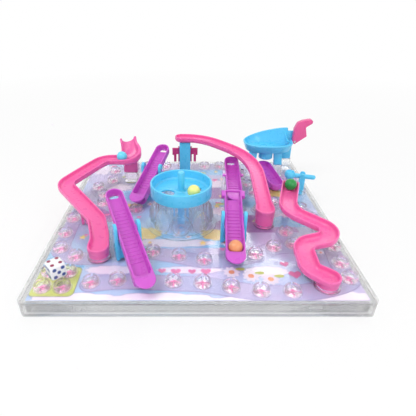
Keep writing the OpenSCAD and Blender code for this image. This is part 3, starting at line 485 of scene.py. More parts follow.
def rounded_route(points, radii, step=4):
    """Plan route whose corners are rounded by arcs."""
    points = [Vector(p) for p in points]
    route = [points[0]]
    for a, b, c, radius in zip(points, points[1:], points[2:], radii):
        u, v = (a - b).normalized(), (c - b).normalized()
        half = u.angle(v) / 2
        middle = b + (u + v).normalized() * radius / math.sin(half)
        first = b + u * radius / math.tan(half) - middle
        turn = (math.pi - 2 * half) * (1 if u.x * v.y - u.y * v.x < 0 else -1)
        count = math.ceil(abs(math.degrees(turn)) / step)
        start = math.atan2(first.y, first.x)
        route += [middle + radius * facing(start + turn * i / count) for i in range(count + 1)]
    return route + [points[-1]]


def spaced(route, longest=2.0):
    """Route with points added on its long stretches."""
    points = [route[0]]
    for a, b in zip(route, route[1:]):
        count = max(1, math.ceil((b - a).length / longest))
        points += [a + (b - a) * i / count for i in range(1, count + 1)]
    return points


def distances(points):
    """Distance of each point from the first, measured along the line."""
    runs = [0]
    for a, b in zip(points, points[1:]):
        runs.append(runs[-1] + (b - a).length)
    return runs


def falling(corners, radii, heights, fall=1, rise=0, rise_len=1):
    """Path of a channel's floor along a rounded route: a fall, after a steep ramp where there is one."""
    route = spaced(rounded_route(corners, radii))
    runs = distances(route)
    path = []
    for p, run in zip(route, runs):
        z = heights[0] + (heights[1] - heights[0]) * (run / runs[-1]) ** fall
        path.append(Vector((p.x, p.y, DECK + z + rise * max(0, 1 - run / rise_len) ** 2)))
    return path


def trough_section(width, wall, floor, depth, outer_r=3.6, fillet=(FILLET, FILLET)):
    """Closed outline of a trough: round lower edges, round rims and a channel with oval fillets."""
    half, rim = width / 2, wall / 2
    across, up = fillet
    right = arc(half - outer_r, outer_r - floor, outer_r, -90, 0)
    right += arc(half - rim, depth - rim, rim, 0, 180, 8)
    right += [(half - wall - across + x * across, up + z * up) for x, z in arc(0, 0, 1, 0, -90)]
    return right + [(-x, z) for x, z in reversed(right)]


# Points of that outline that lie in the channel
CHANNEL = range(16, 30)


def landing_share(run):
    """How much of the landing's shape there is at a distance along the path."""
    return math.sin(math.pi * min(1, run / LANDING_LEN)) ** 2


def landing_width(run):
    """How much wider the ramp and the landing are on their left side than the trough."""
    return 1 + LANDING_FLARE * max(landing_share(run), RAMP_SHARE * (1 - run / LANDING_LEN))


def landing_section(sizes, run):
    """Section of the zigzag's ramp and landing: a broad curved panel that becomes a trough."""
    flat = max(0, 1 - run / LANDING_LEN) ** 0.7
    wall = sizes["wall"] + LANDING_WALL * flat
    reach = sizes["width"] / 2 - wall
    fillet = (FILLET + (reach - FILLET - 0.2) * flat, FILLET + LANDING_FILLET * flat)
    drop = LANDING_DROP * landing_share(run)
    section = trough_section(**{**sizes, "wall": wall}, fillet=fillet)
    return [(x, z - drop if z < sizes["depth"] / 2 else z) for x, z in section]


def heading_at(path, i):
    ahead = path[min(i + 1, len(path) - 1)] - path[max(i - 1, 0)]
    return Vector((ahead.x, ahead.y, 0)).normalized()


def ring_at(place, heading, section, left_scale=1.0):
    side = Vector((heading.y, -heading.x, 0))
    return [place + side * x * (left_scale if x < 0 else 1) + Vector((0, 0, z)) for x, z in section]


def end_wall_rings(place, heading, section, wall, depth):
    """Rings that close the start of a trough with a wall whose top is round."""
    rings = []
    rim = wall / 2
    for x, z in arc(-rim, depth - rim, rim, 180, 0, 6):
        filled = [(p[0], z if k in CHANNEL else min(p[1], z)) for k, p in enumerate(section)]
        rings.append(ring_at(place + heading * x, heading, filled))
    return rings


def cup_body(middle, rim_z, entry, edge=0.4, inset=0.03):
    """Tapered body under a slide's round end, cut down where the trough comes in."""
    low, high, foot = middle.z - CUP_FLOOR, rim_z - CUP_WALL, DECK + SOCKET_H
    inner = CUP_R - CUP_WALL
    rings = []
    for a in around(72):
        off = abs((a - entry + math.pi) % (2 * math.pi) - math.pi)
        top = low + (high - low) * smooth(off, *CUP_ENTRY)
        out = CUP_FOOT_R + (CUP_R - inset - CUP_FOOT_R) * (top - foot) / (high - foot)
        profile = [(0, DECK), (CUP_FOOT_R - edge, DECK), (CUP_FOOT_R, DECK + edge), (CUP_FOOT_R, foot)]
        profile += [(out, top), (inner, top), (inner, low), (0, low)]
        rings.append([(middle.x + r * math.cos(a), middle.y + r * math.sin(a), z) for r, z in profile])
    return grid(rings, closed=False, looped=True)


def round_end(place, heading, section, start, steps=20):
    """Half a turn of a trough's section, which closes one of its ends."""
    half = [(0, section[0][1])] + section[:len(section) // 2] + [(0, 0)]
    start += math.degrees(math.atan2(heading.y, heading.x))
    turns = [turned(start - 180 * k / steps, "Z") for k in range(steps + 1)]
    rings = [[turn @ Vector((r, 0, z)) for r, z in half] for turn in turns]
    return grid(rings, closed=False, caps=False), at(*place)


def slide(path, sizes, flared=False, walled=False, round_start=False):
    """A trough along a path that widens into a round cup at its low end."""
    section = trough_section(**sizes)
    runs = distances(path)
    first, last, middle = heading_at(path, 0), heading_at(path, len(path) - 1), path[-1]
    bulge = CUP_R / (sizes["width"] / 2) - 1
    rings = []
    if walled:
        rings += end_wall_rings(path[0], first, section, sizes["wall"], sizes["depth"])
    for i, place in enumerate(path):
        wide, outline = 1.0, section
        if flared:
            wide = landing_width(runs[i])
            outline = landing_section(sizes, runs[i])
        widen = 1 + bulge * smooth((place - middle).to_2d().length, CUP_R, 1)
        outline = [(x * widen, z) for x, z in outline]
        rings.append(ring_at(place, heading_at(path, i), outline, wide))
    verts, faces = grid(rings)
    shape = Shape().add((verts, faces[:-2] if round_start else faces[:-1]))
    if round_start:
        shape.add(*round_end(path[0], first, section, -90))
    shape.add(*round_end(middle, last, [(x * (1 + bulge), z) for x, z in section], 90))
    entry = math.atan2(-last.y, -last.x)
    shape.add(cup_body(middle, middle.z + sizes["depth"], entry % (2 * math.pi)))
    return shape


def slotted_leg(x, y, height):
    """Leg with a slot in its lower half."""
    half, slot, deep = LEG["width"] / 2, LEG["slot"] / 2, LEG["depth"] / 2
    outline = [(-half, 0), (-slot, 0), (-slot, height / 2), (slot, height / 2), (slot, 0), (half, 0)]
    outline += [(half, height), (-half, height)]
    return soft_prism(outline, -deep, deep, 0.4), at(x, y, DECK) @ ALONG_Y


def tower(path, steps=14):
    """Block under the ramp, whose top follows the floor of the landing."""
    runs = distances(path)
    width, depth, low = TOWER["width"], TOWER["depth"], DECK + TOWER["low"]
    rings = []
    for i in range(steps + 1):
        x = TOWER_PLACE.x + width * (i / steps - 0.5)
        edge = TOWER["edge"] if i in (0, steps) else 0
        ring = [(x, TOWER_PLACE.y + side * (depth / 2 - edge), low) for side in (1, -1)]
        for k in range(steps + 1):
            y = TOWER_PLACE.y + (depth - 2 * edge) * (k / steps - 0.5)
            away = [(p.to_2d() - Vector((x, y))).length for p in path]
            near = away.index(min(away))
            floor_z = path[near].z - LANDING_DROP * landing_share(runs[near])
            ring.append((x, y, min(DECK + TOWER["high"], floor_z - TOWER["gap"])))
        rings.append(ring)
    return grid(rings)


zigzag_path = falling(ZIGZAG_ROUTE, ZIGZAG_RADII, ZIGZAG_HEIGHTS, ZIGZAG_FALL, RAMP_RISE, RAMP_LEN)
zigzag = slide(zigzag_path, TROUGH, flared=True)
zigzag.add(*slotted_leg(*ZIGZAG_LEG))
zigzag.add(tower(zigzag_path))
build("zigzag_trough", zigzag, "deck", PINK, ["zigzag_slide"])

s_path = falling(S_ROUTE, S_RADII, S_HEIGHTS)
s_shape = slide(s_path, TROUGH, walled=True)
s_shape.add(*slotted_leg(*S_LEG))
build("s_trough", s_shape, "deck", PINK, ["s_slide"])

arch_path = falling(ARCH_ROUTE, ARCH_RADII, ARCH_HEIGHTS, ARCH_FALL)
arch_shape = slide(arch_path, ARCH, round_start=True)
arch_boss = soft_box(ARCH_BOSS["width"], ARCH_BOSS["depth"], DECK + POST["height"],
                     DECK + ARCH_BOSS["top"], 0.4)
arch_shape.add(arch_boss, at(*POST_PLACE))
build("arch_trough", arch_shape, "deck", PINK, ["arch_slide"])


# Drum on its scalloped pedestal

DRUM = {"radius": 30.6, "wall": 2, "height": 13, "floor": 3, "floor_t": 2, "fillet": 3, "edge": 0.7}
DRUM_BORE_R = 3
DRUM_HUB_R = 6
BALL_HOLE = {"out": 14, "radius": 6.9, "rim_r": 7.7, "rim_depth": 0.7}
BALL_HOLE_TURNS = (16, 196)
KNOB = {"radius": 3.4, "low": -19, "high": 24, "rounding": 1.2, "flare_r": 6.4, "flare": 2.4, "sunk": 0.5}
drum_hinge = pivot("drum_spin")
drum_place = at(drum_hinge.x, drum_hinge.y)


def drum():
    low = drum_hinge.z
    outer, rim, fillet, edge = DRUM["radius"], DRUM["wall"] / 2, DRUM["fillet"], DRUM["edge"]
    inner, floor_z, rim_z = outer - DRUM["wall"], low + DRUM["floor"], low + DRUM["height"]
    under = floor_z - DRUM["floor_t"]
    profile = [(DRUM_BORE_R, floor_z)] + arc(inner - fillet, floor_z + fillet, fillet, -90, 0)
    profile += arc(outer - rim, rim_z - rim, rim, 180, 0, 8)
    profile += arc(outer - edge, low + edge, edge, 0, -90, 3) + [(inner, low), (inner, under)]
    profile += [(DRUM_HUB_R, under), (DRUM_HUB_R, low), (DRUM_BORE_R, low)]
    shape = Shape().add(lathe(profile, 120), drum_place)
    obj = build("drum_bowl", shape, "drum", BLUE, ["spinner_drum"])
    r, rim_r = BALL_HOLE["radius"], BALL_HOLE["rim_r"]
    hole = [(0, low - 2), (r, low - 2), (r, floor_z - BALL_HOLE["rim_depth"]), (rim_r, floor_z + 0.2)]
    hole += [(rim_r, floor_z + 4), (0, floor_z + 4)]
    holes = Shape()
    for side in BALL_HOLE_TURNS:
        holes.add(lathe(hole, 40, closed=False), drum_place @ turned(side, "Z") @ at(BALL_HOLE["out"], 0))
    cut(obj, holes)
    stem = rod(KNOB["radius"], low + KNOB["low"], low + KNOB["high"], KNOB["rounding"], 40)
    knob = Shape().add(stem, drum_place)
    flare_r, top, foot = KNOB["flare_r"], floor_z + KNOB["flare"], floor_z - KNOB["sunk"]
    flare = [(DRUM_BORE_R, foot), (flare_r, foot)] + arc(flare_r, top, KNOB["flare"], -90, -180)
    knob.add(lathe(flare + [(DRUM_BORE_R, top)], 40), drum_place)
    build("drum_knob", knob, "drum", BLUE)


drum()

BELL = {"top_r": 27.2, "flare": 1.8, "taper": 1.6, "height": 32, "wall": 1.8, "lobes": 8}
POUCH = {"level": 0.3, "rise": 0.42, "out": 4.6, "width": 0.94, "ripple": 0.5, "ripples": 5.5}
FLUTE = 0.35
FOOT_RING = {"inner_r": 32, "outer_r": 36, "height": 1}


def bell_radius(turn, level, swirls=1):
    """Pedestal's skin: fluted at the top, with a ring of round pouches that hang to the deck."""
    radius = BELL["top_r"] + BELL["flare"] * (1 - level) ** BELL["taper"]
    part = BELL["lobes"] * turn / (2 * math.pi)
    off = 2 * abs(part - round(part)) / POUCH["width"]
    rise = (level - POUCH["level"]) / (POUCH["level"] if level < POUCH["level"] else POUCH["rise"])
    far = math.sqrt(off ** 2 + rise ** 2)
    pouch = POUCH["out"] * math.sqrt(max(0, 1 - far ** 2))
    fade = max(0, 1 - far) ** 0.5 * min(1, far * 4)
    ripple = POUCH["ripple"] * math.cos(POUCH["ripples"] * math.pi * far) * fade
    flute = FLUTE * math.cos(4 * BELL["lobes"] * turn) * level ** 2
    return radius + pouch + (ripple + flute) * swirls


def pedestal(levels=44, steps=320):
    rows = [i / levels for i in range(levels + 1)]
    rings = []
    for turn in around(steps):
        outer = [(bell_radius(turn, v), BELL["height"] * v) for v in rows]
        inner = [(bell_radius(turn, v, 0) - BELL["wall"], BELL["height"] * v) for v in reversed(rows)]
        rings.append([(r * math.cos(turn), r * math.sin(turn), DECK + z) for r, z in outer + inner])
    shape = Shape().add(grid(rings, looped=True), drum_place)
    build("pedestal_skin", shape, "deck", CLEAR_BLUE, ["drum_pedestal"], sharp=50)
    inner_r, outer_r, half, low = FOOT_RING["inner_r"], FOOT_RING["outer_r"], FOOT_RING["height"] / 2, 0.05
    foot = [(inner_r, low), (outer_r + 0.2, low)] + arc(outer_r, low + half, half, -60, 90, 5)
    foot.append((inner_r, low + 2 * half))
    ring = Shape().add(lathe([(r, DECK + z) for r, z in foot], 160), drum_place)
    build("pedestal_foot", ring, "deck", CLEAR_BLUE)


pedestal()


# Ladders and the chute: open troughs with closed ends

LADDER = {"width": 17, "wall": 1.5, "floor_t": 1.6, "floor_z": -6, "rim_z": 2.6, "taper": 1.8}
LADDER_HALF = LADDER["width"] / 2
# Rounding of a trough's lower edge and of its channel, as insets and heights
OUTER_ROUND = [(2.4, 0), (1.0, 0.35), (0.35, 1.0), (0, 2.4)]
INNER_ROUND = [(0, 1.6), (0.25, 0.7), (0.7, 0.25), (1.6, 0)]
# Corner radii of a ladder's ends, outside and inside
LOW_CORNERS = (0.8, 4)
SQUARE_CORNERS = (1.5, 1.2)
ROUND_CORNERS = (8.5, 7)
FOOT_T = 2
FOOT_GAP = 0.3
PAD_LEN = 10
RUNG_STEP = 4
RUNG_R = 0.8
# Slot through the high end's floor: its width, its half lengths, its place and its reach in height
SLOT_W = 5
SLOT_HALF = 4.75
SLOT_HALF_SQUARED = 6.2
SLOT_IN = 3.5
SLOT_REACH = (-16, -2)
WINDOW_BAR = 2.4
PIN_R = 2
PIN_OUT = 3.2
BOSS_R = 3.4
EAR = {"length": 7.5, "width": 3.5, "low": -1.9, "high": 2.6, "in": 4.75, "out": 1.25}
YOKE_HALF = 4.5
YOKE_TOP = 6
YOKE_Y = LADDER_HALF + 0.5
YOKE_REACH = 30
UPRIGHT_T = 3
WEB_T = 4.5
WEB_DROP = 11.5
# Each ladder's name, body, tilt at rest, lengths to its low and high ends, and whether it is squared
LADDERS = [
    ("front_left", "ladder_fl", 17, 52.5, 52, False),
    ("back_left", "ladder_bl", 17, 46.5, 47, False),
    ("right_lower", "ladder_rl", 17, 41.5, 36.5, True),
    ("right_upper", "ladder_ru", 11, 38, 36, False),
]


def stadium(low, high, width, inset, steps=16):
    """Plan outline of a slot shape, drawn in by an inset."""
    r = width / 2 - inset
    right = [(high - width / 2 + x, y) for x, y in arc(0, 0, r, -90, 90, steps)]
    left = [(-low + width / 2 + x, y) for x, y in arc(0, 0, r, 90, 270, steps)]
    return right + left


def corner_outline(low, high, width, inset, share, low_r, high_r, low_wall):
    """Plan outline with rounded corners, drawn in by an inset. share blends the outer and inner radii."""
    y = width / 2 - inset
    left = -low + inset + (low_wall - LADDER["wall"]) * share
    points = []
    for x, radii, side, corners in ((high - inset, high_r, -1, ((-1, -90), (1, 0))),
                                    (left, low_r, 1, ((1, 90), (-1, 180)))):
        r = min(y, radii[0] + (radii[1] - radii[0]) * share)
        for across, turn in corners:
            points += arc(x + side * r, across * (y - r), r, turn, turn + 90, 8)
    return points


def slot_trough(low, high, width, wall, floor_t, floor_z, rim_z, taper, ends=None):
    """Open trough whose floor tapers against its rim. ends gives the corner radii of its low and high
    ends, outside and inside, and the thickness of its low wall. Without it both ends are round."""
    slope = math.tan(math.radians(taper))
    rim = wall / 2
    rows = [(inset, up - floor_t, True) for inset, up in OUTER_ROUND]
    rows += [(rim - x, rim_z - rim + z, False) for x, z in arc(0, 0, rim, 0, 180)]
    rows += [(wall + inset, up, True) for inset, up in INNER_ROUND]
    rings = []
    for inset, z, on_floor in rows:
        if ends:
            outline = corner_outline(low, high, width, inset, min(1, inset / wall), **ends)
        else:
            outline = stadium(low, high, width, inset)
        rings.append([(x, y, z + floor_z + x * slope if on_floor else z) for x, y in outline])
    return grid(rings)


def rungs(low, high):
    """Half-round bars across a ladder's floor."""
    shape = Shape()
    half = LADDER_HALF - LADDER["wall"] - 0.1
    bar = prism(arc(0, -0.15, RUNG_R, 0, 180, 8), -half, half)
    x = -low + LADDER["width"] + RUNG_STEP
    while x < high - LADDER["width"] - RUNG_STEP + 0.01:
        shape.add(bar, turned(-LADDER["taper"], "Y") @ at(x, 0, LADDER["floor_z"]) @ ALONG_Y)
        x += RUNG_STEP
    return shape


def foot_plate(height, tilt, low, edge=0.4):
    """End plate of a ladder's low end: flat at the rim, round where it stands on the deck."""
    turn = math.radians(tilt)
    depth = (height - FOOT_GAP - low * math.sin(turn)) / math.cos(turn)
    r, top = LADDER_HALF, LADDER["rim_z"]
    outline = [(r, top - edge), (r - edge, top), (edge - r, top), (-r, top - edge)]
    outline += arc(0, r - depth, r, 180, 360, 24)
    return soft_prism(outline, 0, FOOT_T, 0.45), at(-low, 0) @ ALONG_Y_Z


def press_pad():
    """Pad at the low end, level with the rim, that a finger presses."""
    r, top = LADDER_HALF, LADDER["rim_z"]
    outline = [(FOOT_T - 0.2, -r), (FOOT_T - 0.2, r)] + arc(r - PAD_LEN, 0, r, 90, 270, 24)
    return soft_prism(outline, top - FOOT_T, top + SEAT, 0.55)


def ladder(name, body, hinge, yaw, tilt, low, high, squared):
    place = at(*hinge, yaw, -tilt)
    ends = {"low_r": LOW_CORNERS, "high_r": SQUARE_CORNERS if squared else ROUND_CORNERS, "low_wall": FOOT_T}
    shell = Shape().add(slot_trough(low, high, **LADDER, ends=ends), place)
    obj = build(f"ladder_{name}_shell", shell, body, PURPLE, [f"ladder_{name}"])
    slot_half = SLOT_HALF_SQUARED if squared else SLOT_HALF
    middle = high - LADDER["wall"] - SLOT_IN
    slot = [(middle - y, x) for x, y in stadium(slot_half, slot_half, SLOT_W, 0)]
    cut(obj, Shape().add(prism(slot, *SLOT_REACH), place))
    if squared:
        end = high + 1
        window = soft_box(end - middle, 2 * slot_half, SLOT_REACH[0], LADDER["rim_z"] - WINDOW_BAR, 0.3)
        cut(obj, Shape().add(window, place @ at((end + middle) / 2, 0)))
    trim = rungs(low, high)
    trim.add(*foot_plate(hinge.z - DECK, tilt, low))
    trim.add(press_pad(), at(-low, 0))
    for side in (-1, 1):
        trim.add(rod(PIN_R, LADDER_HALF - 0.4, LADDER_HALF + PIN_OUT, 0.4, 24), turned(-90 * side, "X"))
        trim.add(rod(BOSS_R, LADDER_HALF - 0.6, LADDER_HALF + 0.4, 0.3, 24), turned(-90 * side, "X"))
        if squared:
            ear = soft_box(EAR["length"], EAR["width"], EAR["low"], EAR["high"], 0.6)
            trim.add(ear, at(high - EAR["in"], side * (LADDER_HALF + EAR["out"])))
    build(f"ladder_{name}_rungs", trim.moved(place), body, PURPLE)


def yoke(name, hinge, yaw, material, slot):
    """Two uprights with round tops and a bore for the ladder's pins, joined by a web."""
    height = hinge.z - DECK
    top, half, r, foot = height + YOKE_TOP, YOKE_HALF, YOKE_HALF - 0.4, 3
    outline = [(-half, 0), (half, 0), (half, foot), (r, top - 2)]
    outline += arc(0, top - 2.2, r, 25, 155, 8) + [(-r, top - 2), (-half, foot)]
    upright = soft_prism(outline, -YOKE_Y - UPRIGHT_T, -YOKE_Y, 0.45)
    shape = Shape()
    for side in (0, 180):
        shape.add(upright, turned(side, "Z") @ ALONG_Y @ Matrix.Scale(-1, 4, (0, 0, 1)))
    shape.add(soft_box(WEB_T, 2 * YOKE_Y + 0.5, 0, height - WEB_DROP, 0.5))
    shape = shape.moved(at(hinge.x, hinge.y, DECK, yaw))
    obj = build(f"yoke_{name}_frame", shape, "deck", material, [f"yoke_{name}"])
    hole = Shape().add(bore(PIN_R + 0.06, -YOKE_REACH, YOKE_REACH), ALONG_Y)
    cut(obj, hole.moved(at(*hinge, yaw)))


for ladder_name, ladder_body, *ladder_sizes in LADDERS:
    ladder_hinge = pivot(f"ladder_{ladder_name}_tip")
    ladder_axis = JOINTS[f"ladder_{ladder_name}_tip"]["axis"]
    ladder_yaw = math.degrees(math.atan2(-ladder_axis[0], ladder_axis[1]))
    ladder(ladder_name, ladder_body, ladder_hinge, ladder_yaw, *ladder_sizes)
    yoke_look = (CLEAR, "clear") if ladder_name == "right_upper" else (BLUE, "blue")
    yoke(ladder_name, ladder_hinge, ladder_yaw, *yoke_look)

CHUTE = {"width": 18, "wall": 1.5, "floor_t": 1.6, "floor_z": 0, "rim_z": 7, "taper": 0}
CHUTE_HALF = 29
CHUTE_PLACE = (95.4, 73.5)
CHUTE_YAW = -79
CHUTE_TILT = 8
CHUTE_H = 6.8
CHUTE_FEET = ((16, 4.4), (-16, 8.8))
chute = Shape().add(slot_trough(CHUTE_HALF, CHUTE_HALF, **CHUTE),
                    at(*CHUTE_PLACE, DECK + CHUTE_H, CHUTE_YAW, CHUTE_TILT))
for foot_x, foot_h in CHUTE_FEET:
    chute.add(soft_box(6, 10, 0, foot_h, 0.4), at(*CHUTE_PLACE, DECK, CHUTE_YAW) @ at(foot_x, 0))
build("chute_trough", chute, "deck", PURPLE, ["drop_chute"])


# Post of the arch and the carriage on it

CARRIAGE = {"tongue": 1.7, "wing": 9.5, "height": 19, "plate": 1.8, "bar": 5.7, "width": 18.2}


def post():
    x, y, groove = POST["width"] / 2, POST["depth"] / 2, POST["groove"] / 2
    deep = x - POST["groove_depth"]
    side = [(x, -y), (x, -groove), (deep, -groove), (deep, groove), (x, groove), (x, y)]
    outline = side + [(-u, -v) for u, v in side]
    shape = Shape().add(soft_prism(outline, DECK, DECK + POST["height"], 0.35), at(*POST_PLACE))
    build("post_column", shape, "deck", BLUE, ["arch_post"])


def carriage():
    """Two forked wings whose tongues run in the post's grooves, joined by a bar behind the post."""
    tongue, height, plate, bar = [CARRIAGE[size] for size in ("tongue", "height", "plate", "bar")]
    fork = [(0, 0), (1.9, 0), (1.9, 10.45), (4.28, 10.45), (4.28, 0), (7.6, 0), (7.6, 9.5)]
    fork.append((CARRIAGE["wing"], 9.5))
    outline = [(0, 3.8), (tongue, 3.8)] + [(tongue + x, z) for x, z in fork]
    outline += [(tongue + CARRIAGE["wing"], height), (0, height)]
    wing = soft_prism(outline, -plate / 2, plate / 2, 0.3)
    link = soft_box(plate, 7.5, height - bar, height, 0.3)
    shape = Shape()
    for side in (1, -1):
        shape.add(wing, Matrix.Scale(side, 4, (1, 0, 0)) @ at(POST["width"] / 2 - tongue, 0) @ ALONG_Y)
        shape.add(link, at(side * (POST["width"] / 2 + 0.3 + plate / 2), bar / 2))
    shape.add(soft_box(CARRIAGE["width"], plate, height - bar, height, 0.3), at(0, bar))
    shape = shape.moved(at(*POST_PLACE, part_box("lift_carriage")[0].z / MM))
    build("carriage_wings", shape, "carriage", MAGENTA, ["lift_carriage"])


post()
carriage()


# Launcher

BOWL_PLACE = Vector((90, 106))
BOWL_R = 25
BOWL_FLOOR = DECK + 34
BOWL_RIM = 9.0
# Half sizes of the oval front, and the power that makes it fuller than an ellipse
BOWL_FRONT = Vector((31.6, 22.6))
BOWL_FULLNESS = 2.4
# Inset from which the floor's rings shrink towards the middle, and the distance that they shrink over
BOWL_FLAT = 8.0
BOWL_FLAT_SPAN = 26
ENTRY_PLACE = Vector((119, 114))
ENTRY_R = 9
# The guard at the back: its height, where it rises along Y and where it ends along X
GUARD_RISE = 13
GUARD_BACK = (108, 116)
GUARD_END = (124.4, 126)
PADDLE_GAP = 3.9
TUBE = {"radius": 7, "wall": 1.8, "length": 10}
LEG_LEANS = ((2.6, 3.6), (-1, 3))
LIP_R = 0.95
LIP_POINTS = [(127.2, 109.4, 40), (121.5, 112.2, 40.6), (123.5, 117, 43.5), (121, 121, 48)]
PADDLE_T = 7
PADDLE_PIN_R = 1.5


def bowl_outline(inset, steps=24):
    """Plan outline of the dish, drawn in by an inset: an oval front and a back that narrows to the entry."""
    reach = ENTRY_PLACE - BOWL_PLACE
    lean = math.atan2(reach.y, reach.x) + math.acos((BOWL_R - ENTRY_R) / reach.length)
    oval_x = BOWL_PLACE.x - BOWL_R + BOWL_FRONT.x
    half_x, half_y = BOWL_FRONT.x - inset, BOWL_FRONT.y - inset
    entry_r = ENTRY_R - inset
    points = []
    for i in range(steps):
        points.append(BOWL_PLACE + (BOWL_R - inset) * facing(lean + (math.pi - lean) * i / steps))
    for i in range(2 * steps):
        a = math.pi * (1 + i / (2 * steps))
        x, y = [math.copysign(abs(v) ** (2 / BOWL_FULLNESS), v) for v in (math.cos(a), math.sin(a))]
        points.append(Vector((oval_x + half_x * x, BOWL_PLACE.y + half_y * y)))
    corner = Vector((oval_x + half_x, BOWL_PLACE.y))
    last = ENTRY_PLACE + Vector((entry_r, 0))
    points += [corner + (last - corner) * i / 8 for i in range(8)]
    points += [ENTRY_PLACE + entry_r * facing(lean * i / steps) for i in range(steps)]
    last = ENTRY_PLACE + entry_r * facing(lean)
    return points + [last + (points[0] - last) * i / steps for i in range(steps)]


def bowl_rise(p):
    """How far the rim stands above its usual height: the guard at the back, and the gap for the paddle."""
    along = smooth(p.x, BOWL_PLACE.x - BOWL_R + 2, ENTRY_PLACE.x + ENTRY_R)
    rise = GUARD_RISE * smooth(p.y, *GUARD_BACK) * along * (1 - smooth(p.x, *GUARD_END))
    gap = smooth(p.x, ENTRY_PLACE.x + 4, ENTRY_PLACE.x + 6.5)
    gap *= 1 - smooth(abs(p.y - ENTRY_PLACE.y), PADDLE_GAP - 0.6, PADDLE_GAP + 0.6)
    return rise * (1 - gap) - (BOWL_RIM - 0.4) * gap


def bowl_shell():
    """Dish made of rows that run from its underside over the rim to its floor."""
    # Each row's inset, height and share of the rim's rise
    rows = [(14, -2.0, 0), (6, -2.0, 0), (3.8, -1.5, 0), (2.8, 0.2, 0), (1.6, 3.4, 0.3), (0.5, 6.6, 0.8)]
    rows += [(1 - x, BOWL_RIM - 1 + z, 1) for x, z in arc(0, 0, 1, 0, 180, 8)]
    rows += [(2.4, 6.0, 0.7), (3.9, 3.0, 0.3), (5.6, 1.1, 0), (8, 0.3, 0), (14, 0, 0)]
    lifts = [bowl_rise(p) for p in bowl_outline(0)]
    rings = []
    for inset, z, share in rows:
        outline = bowl_outline(min(inset, BOWL_FLAT))
        if inset > BOWL_FLAT:
            shrink = 1 - (inset - BOWL_FLAT) / BOWL_FLAT_SPAN
            outline = [BOWL_PLACE + (p - BOWL_PLACE) * shrink for p in outline]
        sunk = min(1, max(0, z) / (BOWL_RIM - 1))
        heights = [BOWL_FLOOR + z + lift * (share if lift > 0 else sunk) for lift in lifts]
        rings.append([(p.x, p.y, height) for p, height in zip(outline, heights)])
    obj = build("launcher_dish", Shape().add(grid(rings)), "deck", BLUE, ["launcher_bowl"])
    cut(obj, Shape().add(bore(TUBE["radius"], -12, 5, 40), at(*TUBE_PLACE, BOWL_FLOOR)))


def lip(steps=24):
    """Round lip that curls from the dish's front rim to the panel behind the paddle."""
    start, bend, turn, end = [Vector(p) for p in LIP_POINTS]
    line = []
    for i in range(steps + 1):
        t = i / steps
        rest = 1 - t
        line.append(start * rest ** 3 + bend * 3 * t * rest ** 2 + turn * 3 * t * t * rest + end * t ** 3)
    rings = []
    for i, spot in enumerate(line):
        ahead = (line[min(i + 1, steps)] - line[max(i - 1, 0)]).normalized()
        side = ahead.cross(Vector((0, 0, 1))).normalized()
        up = side.cross(ahead)
        base = spot + Vector((0, 0, DECK))
        rings.append([base + side * u + up * v for u, v in disc_outline(0, 0, LIP_R, 12)])
    return grid(rings)


def launcher_frame():
    shape = Shape()
    inner, rim, drop = TUBE["radius"], TUBE["wall"] / 2, -TUBE["length"]
    tube = [(inner, drop)] + arc(inner + rim, drop, rim, 180, 360) + [(inner + 2 * rim, -0.6), (inner, -0.6)]
    shape.add(lathe(tube, 48), at(*TUBE_PLACE, BOWL_FLOOR))
    low, high = DECK + BLOCK_H, BOWL_FLOOR - 0.4
    for place, leans in zip(LEG_PLACES, LEG_LEANS):
        lean = Matrix.Identity(4)
        lean[0][2], lean[1][2] = [way / (high - low) for way in leans]
        shape.add(soft_box(*LEG_SIZE, 0, high - low, 0.6), at(*place, low) @ lean)
    shape.add(soft_box(*COLUMN_SIZE, low, BOWL_FLOOR - 0.6, 0.8), at(*COLUMN_PLACE))
    hinge = pivot("paddle_flick")
    outline = [(-9, -5.5), (0, -5.5)] + arc(0, 0, 3.5, -60, 60, 8) + [(0.2, 5), (0.2, 12.5), (-9, 12.5)]
    panel_half = 1.2
    panel = soft_prism(outline, -panel_half, panel_half, 0.4)
    shape.add(panel, at(hinge.x, hinge.y + PADDLE_GAP + panel_half, hinge.z) @ ALONG_Y)
    shape.add(lip())
    build("launcher_legs", shape, "deck", BLUE)


def paddle():
    place = at(*pivot("paddle_flick")) @ ALONG_Y
    outline = [(-2.6, -0.6), (-1.6, -2.4), (0.4, -3.1), (14.2, 6.9), (14.7, 8), (12.2, 18.4), (12.8, 19.8)]
    outline += [(17.6, 22.9)] + arc(16.7, 26.1, 3.3, -50, 88, 8)
    outline += [(14.4, 29.2), (7.6, 28), (1.8, 25.4), (0.9, 24.4), (-2.2, 17.2)]
    shape = Shape().add(soft_prism(outline, -PADDLE_T / 2, PADDLE_T / 2, 1.1), place)
    obj = build("paddle_blade", shape, "paddle", PINK_DEEP, ["launcher_paddle"])
    cut(obj, Shape().add(bore(PADDLE_PIN_R + 0.06, -6, 6), place))
    pin = Shape().add(rod(PADDLE_PIN_R, -6.3, PADDLE_T / 2, 0.3, 24), place)
    build("paddle_wire", pin, "deck", STEEL, ["paddle_pin"])


bowl_shell()
launcher_frame()
paddle()


# Flip lever

LEVER_HEADING = -16.5
LEVER_R = 2.7
LEVER_REACH = (-11, 14.6)
LEVER_BOSS_R = 3.0
LEVER_BOSS_HALF = 2.5
LEVER_AXLE_R = 1.6
LEVER_AXLE_HALF = 4.95
LEVER_CUP_R = 6.2
LEVER_CUP_PLACE = (-14.5, 0, 0.4)
LEVER_STEM_R = 3
PRONG_HALF = 3.2
PRONG_LOW = 5.7
PRONG_REACH = (2.9, 5.1)


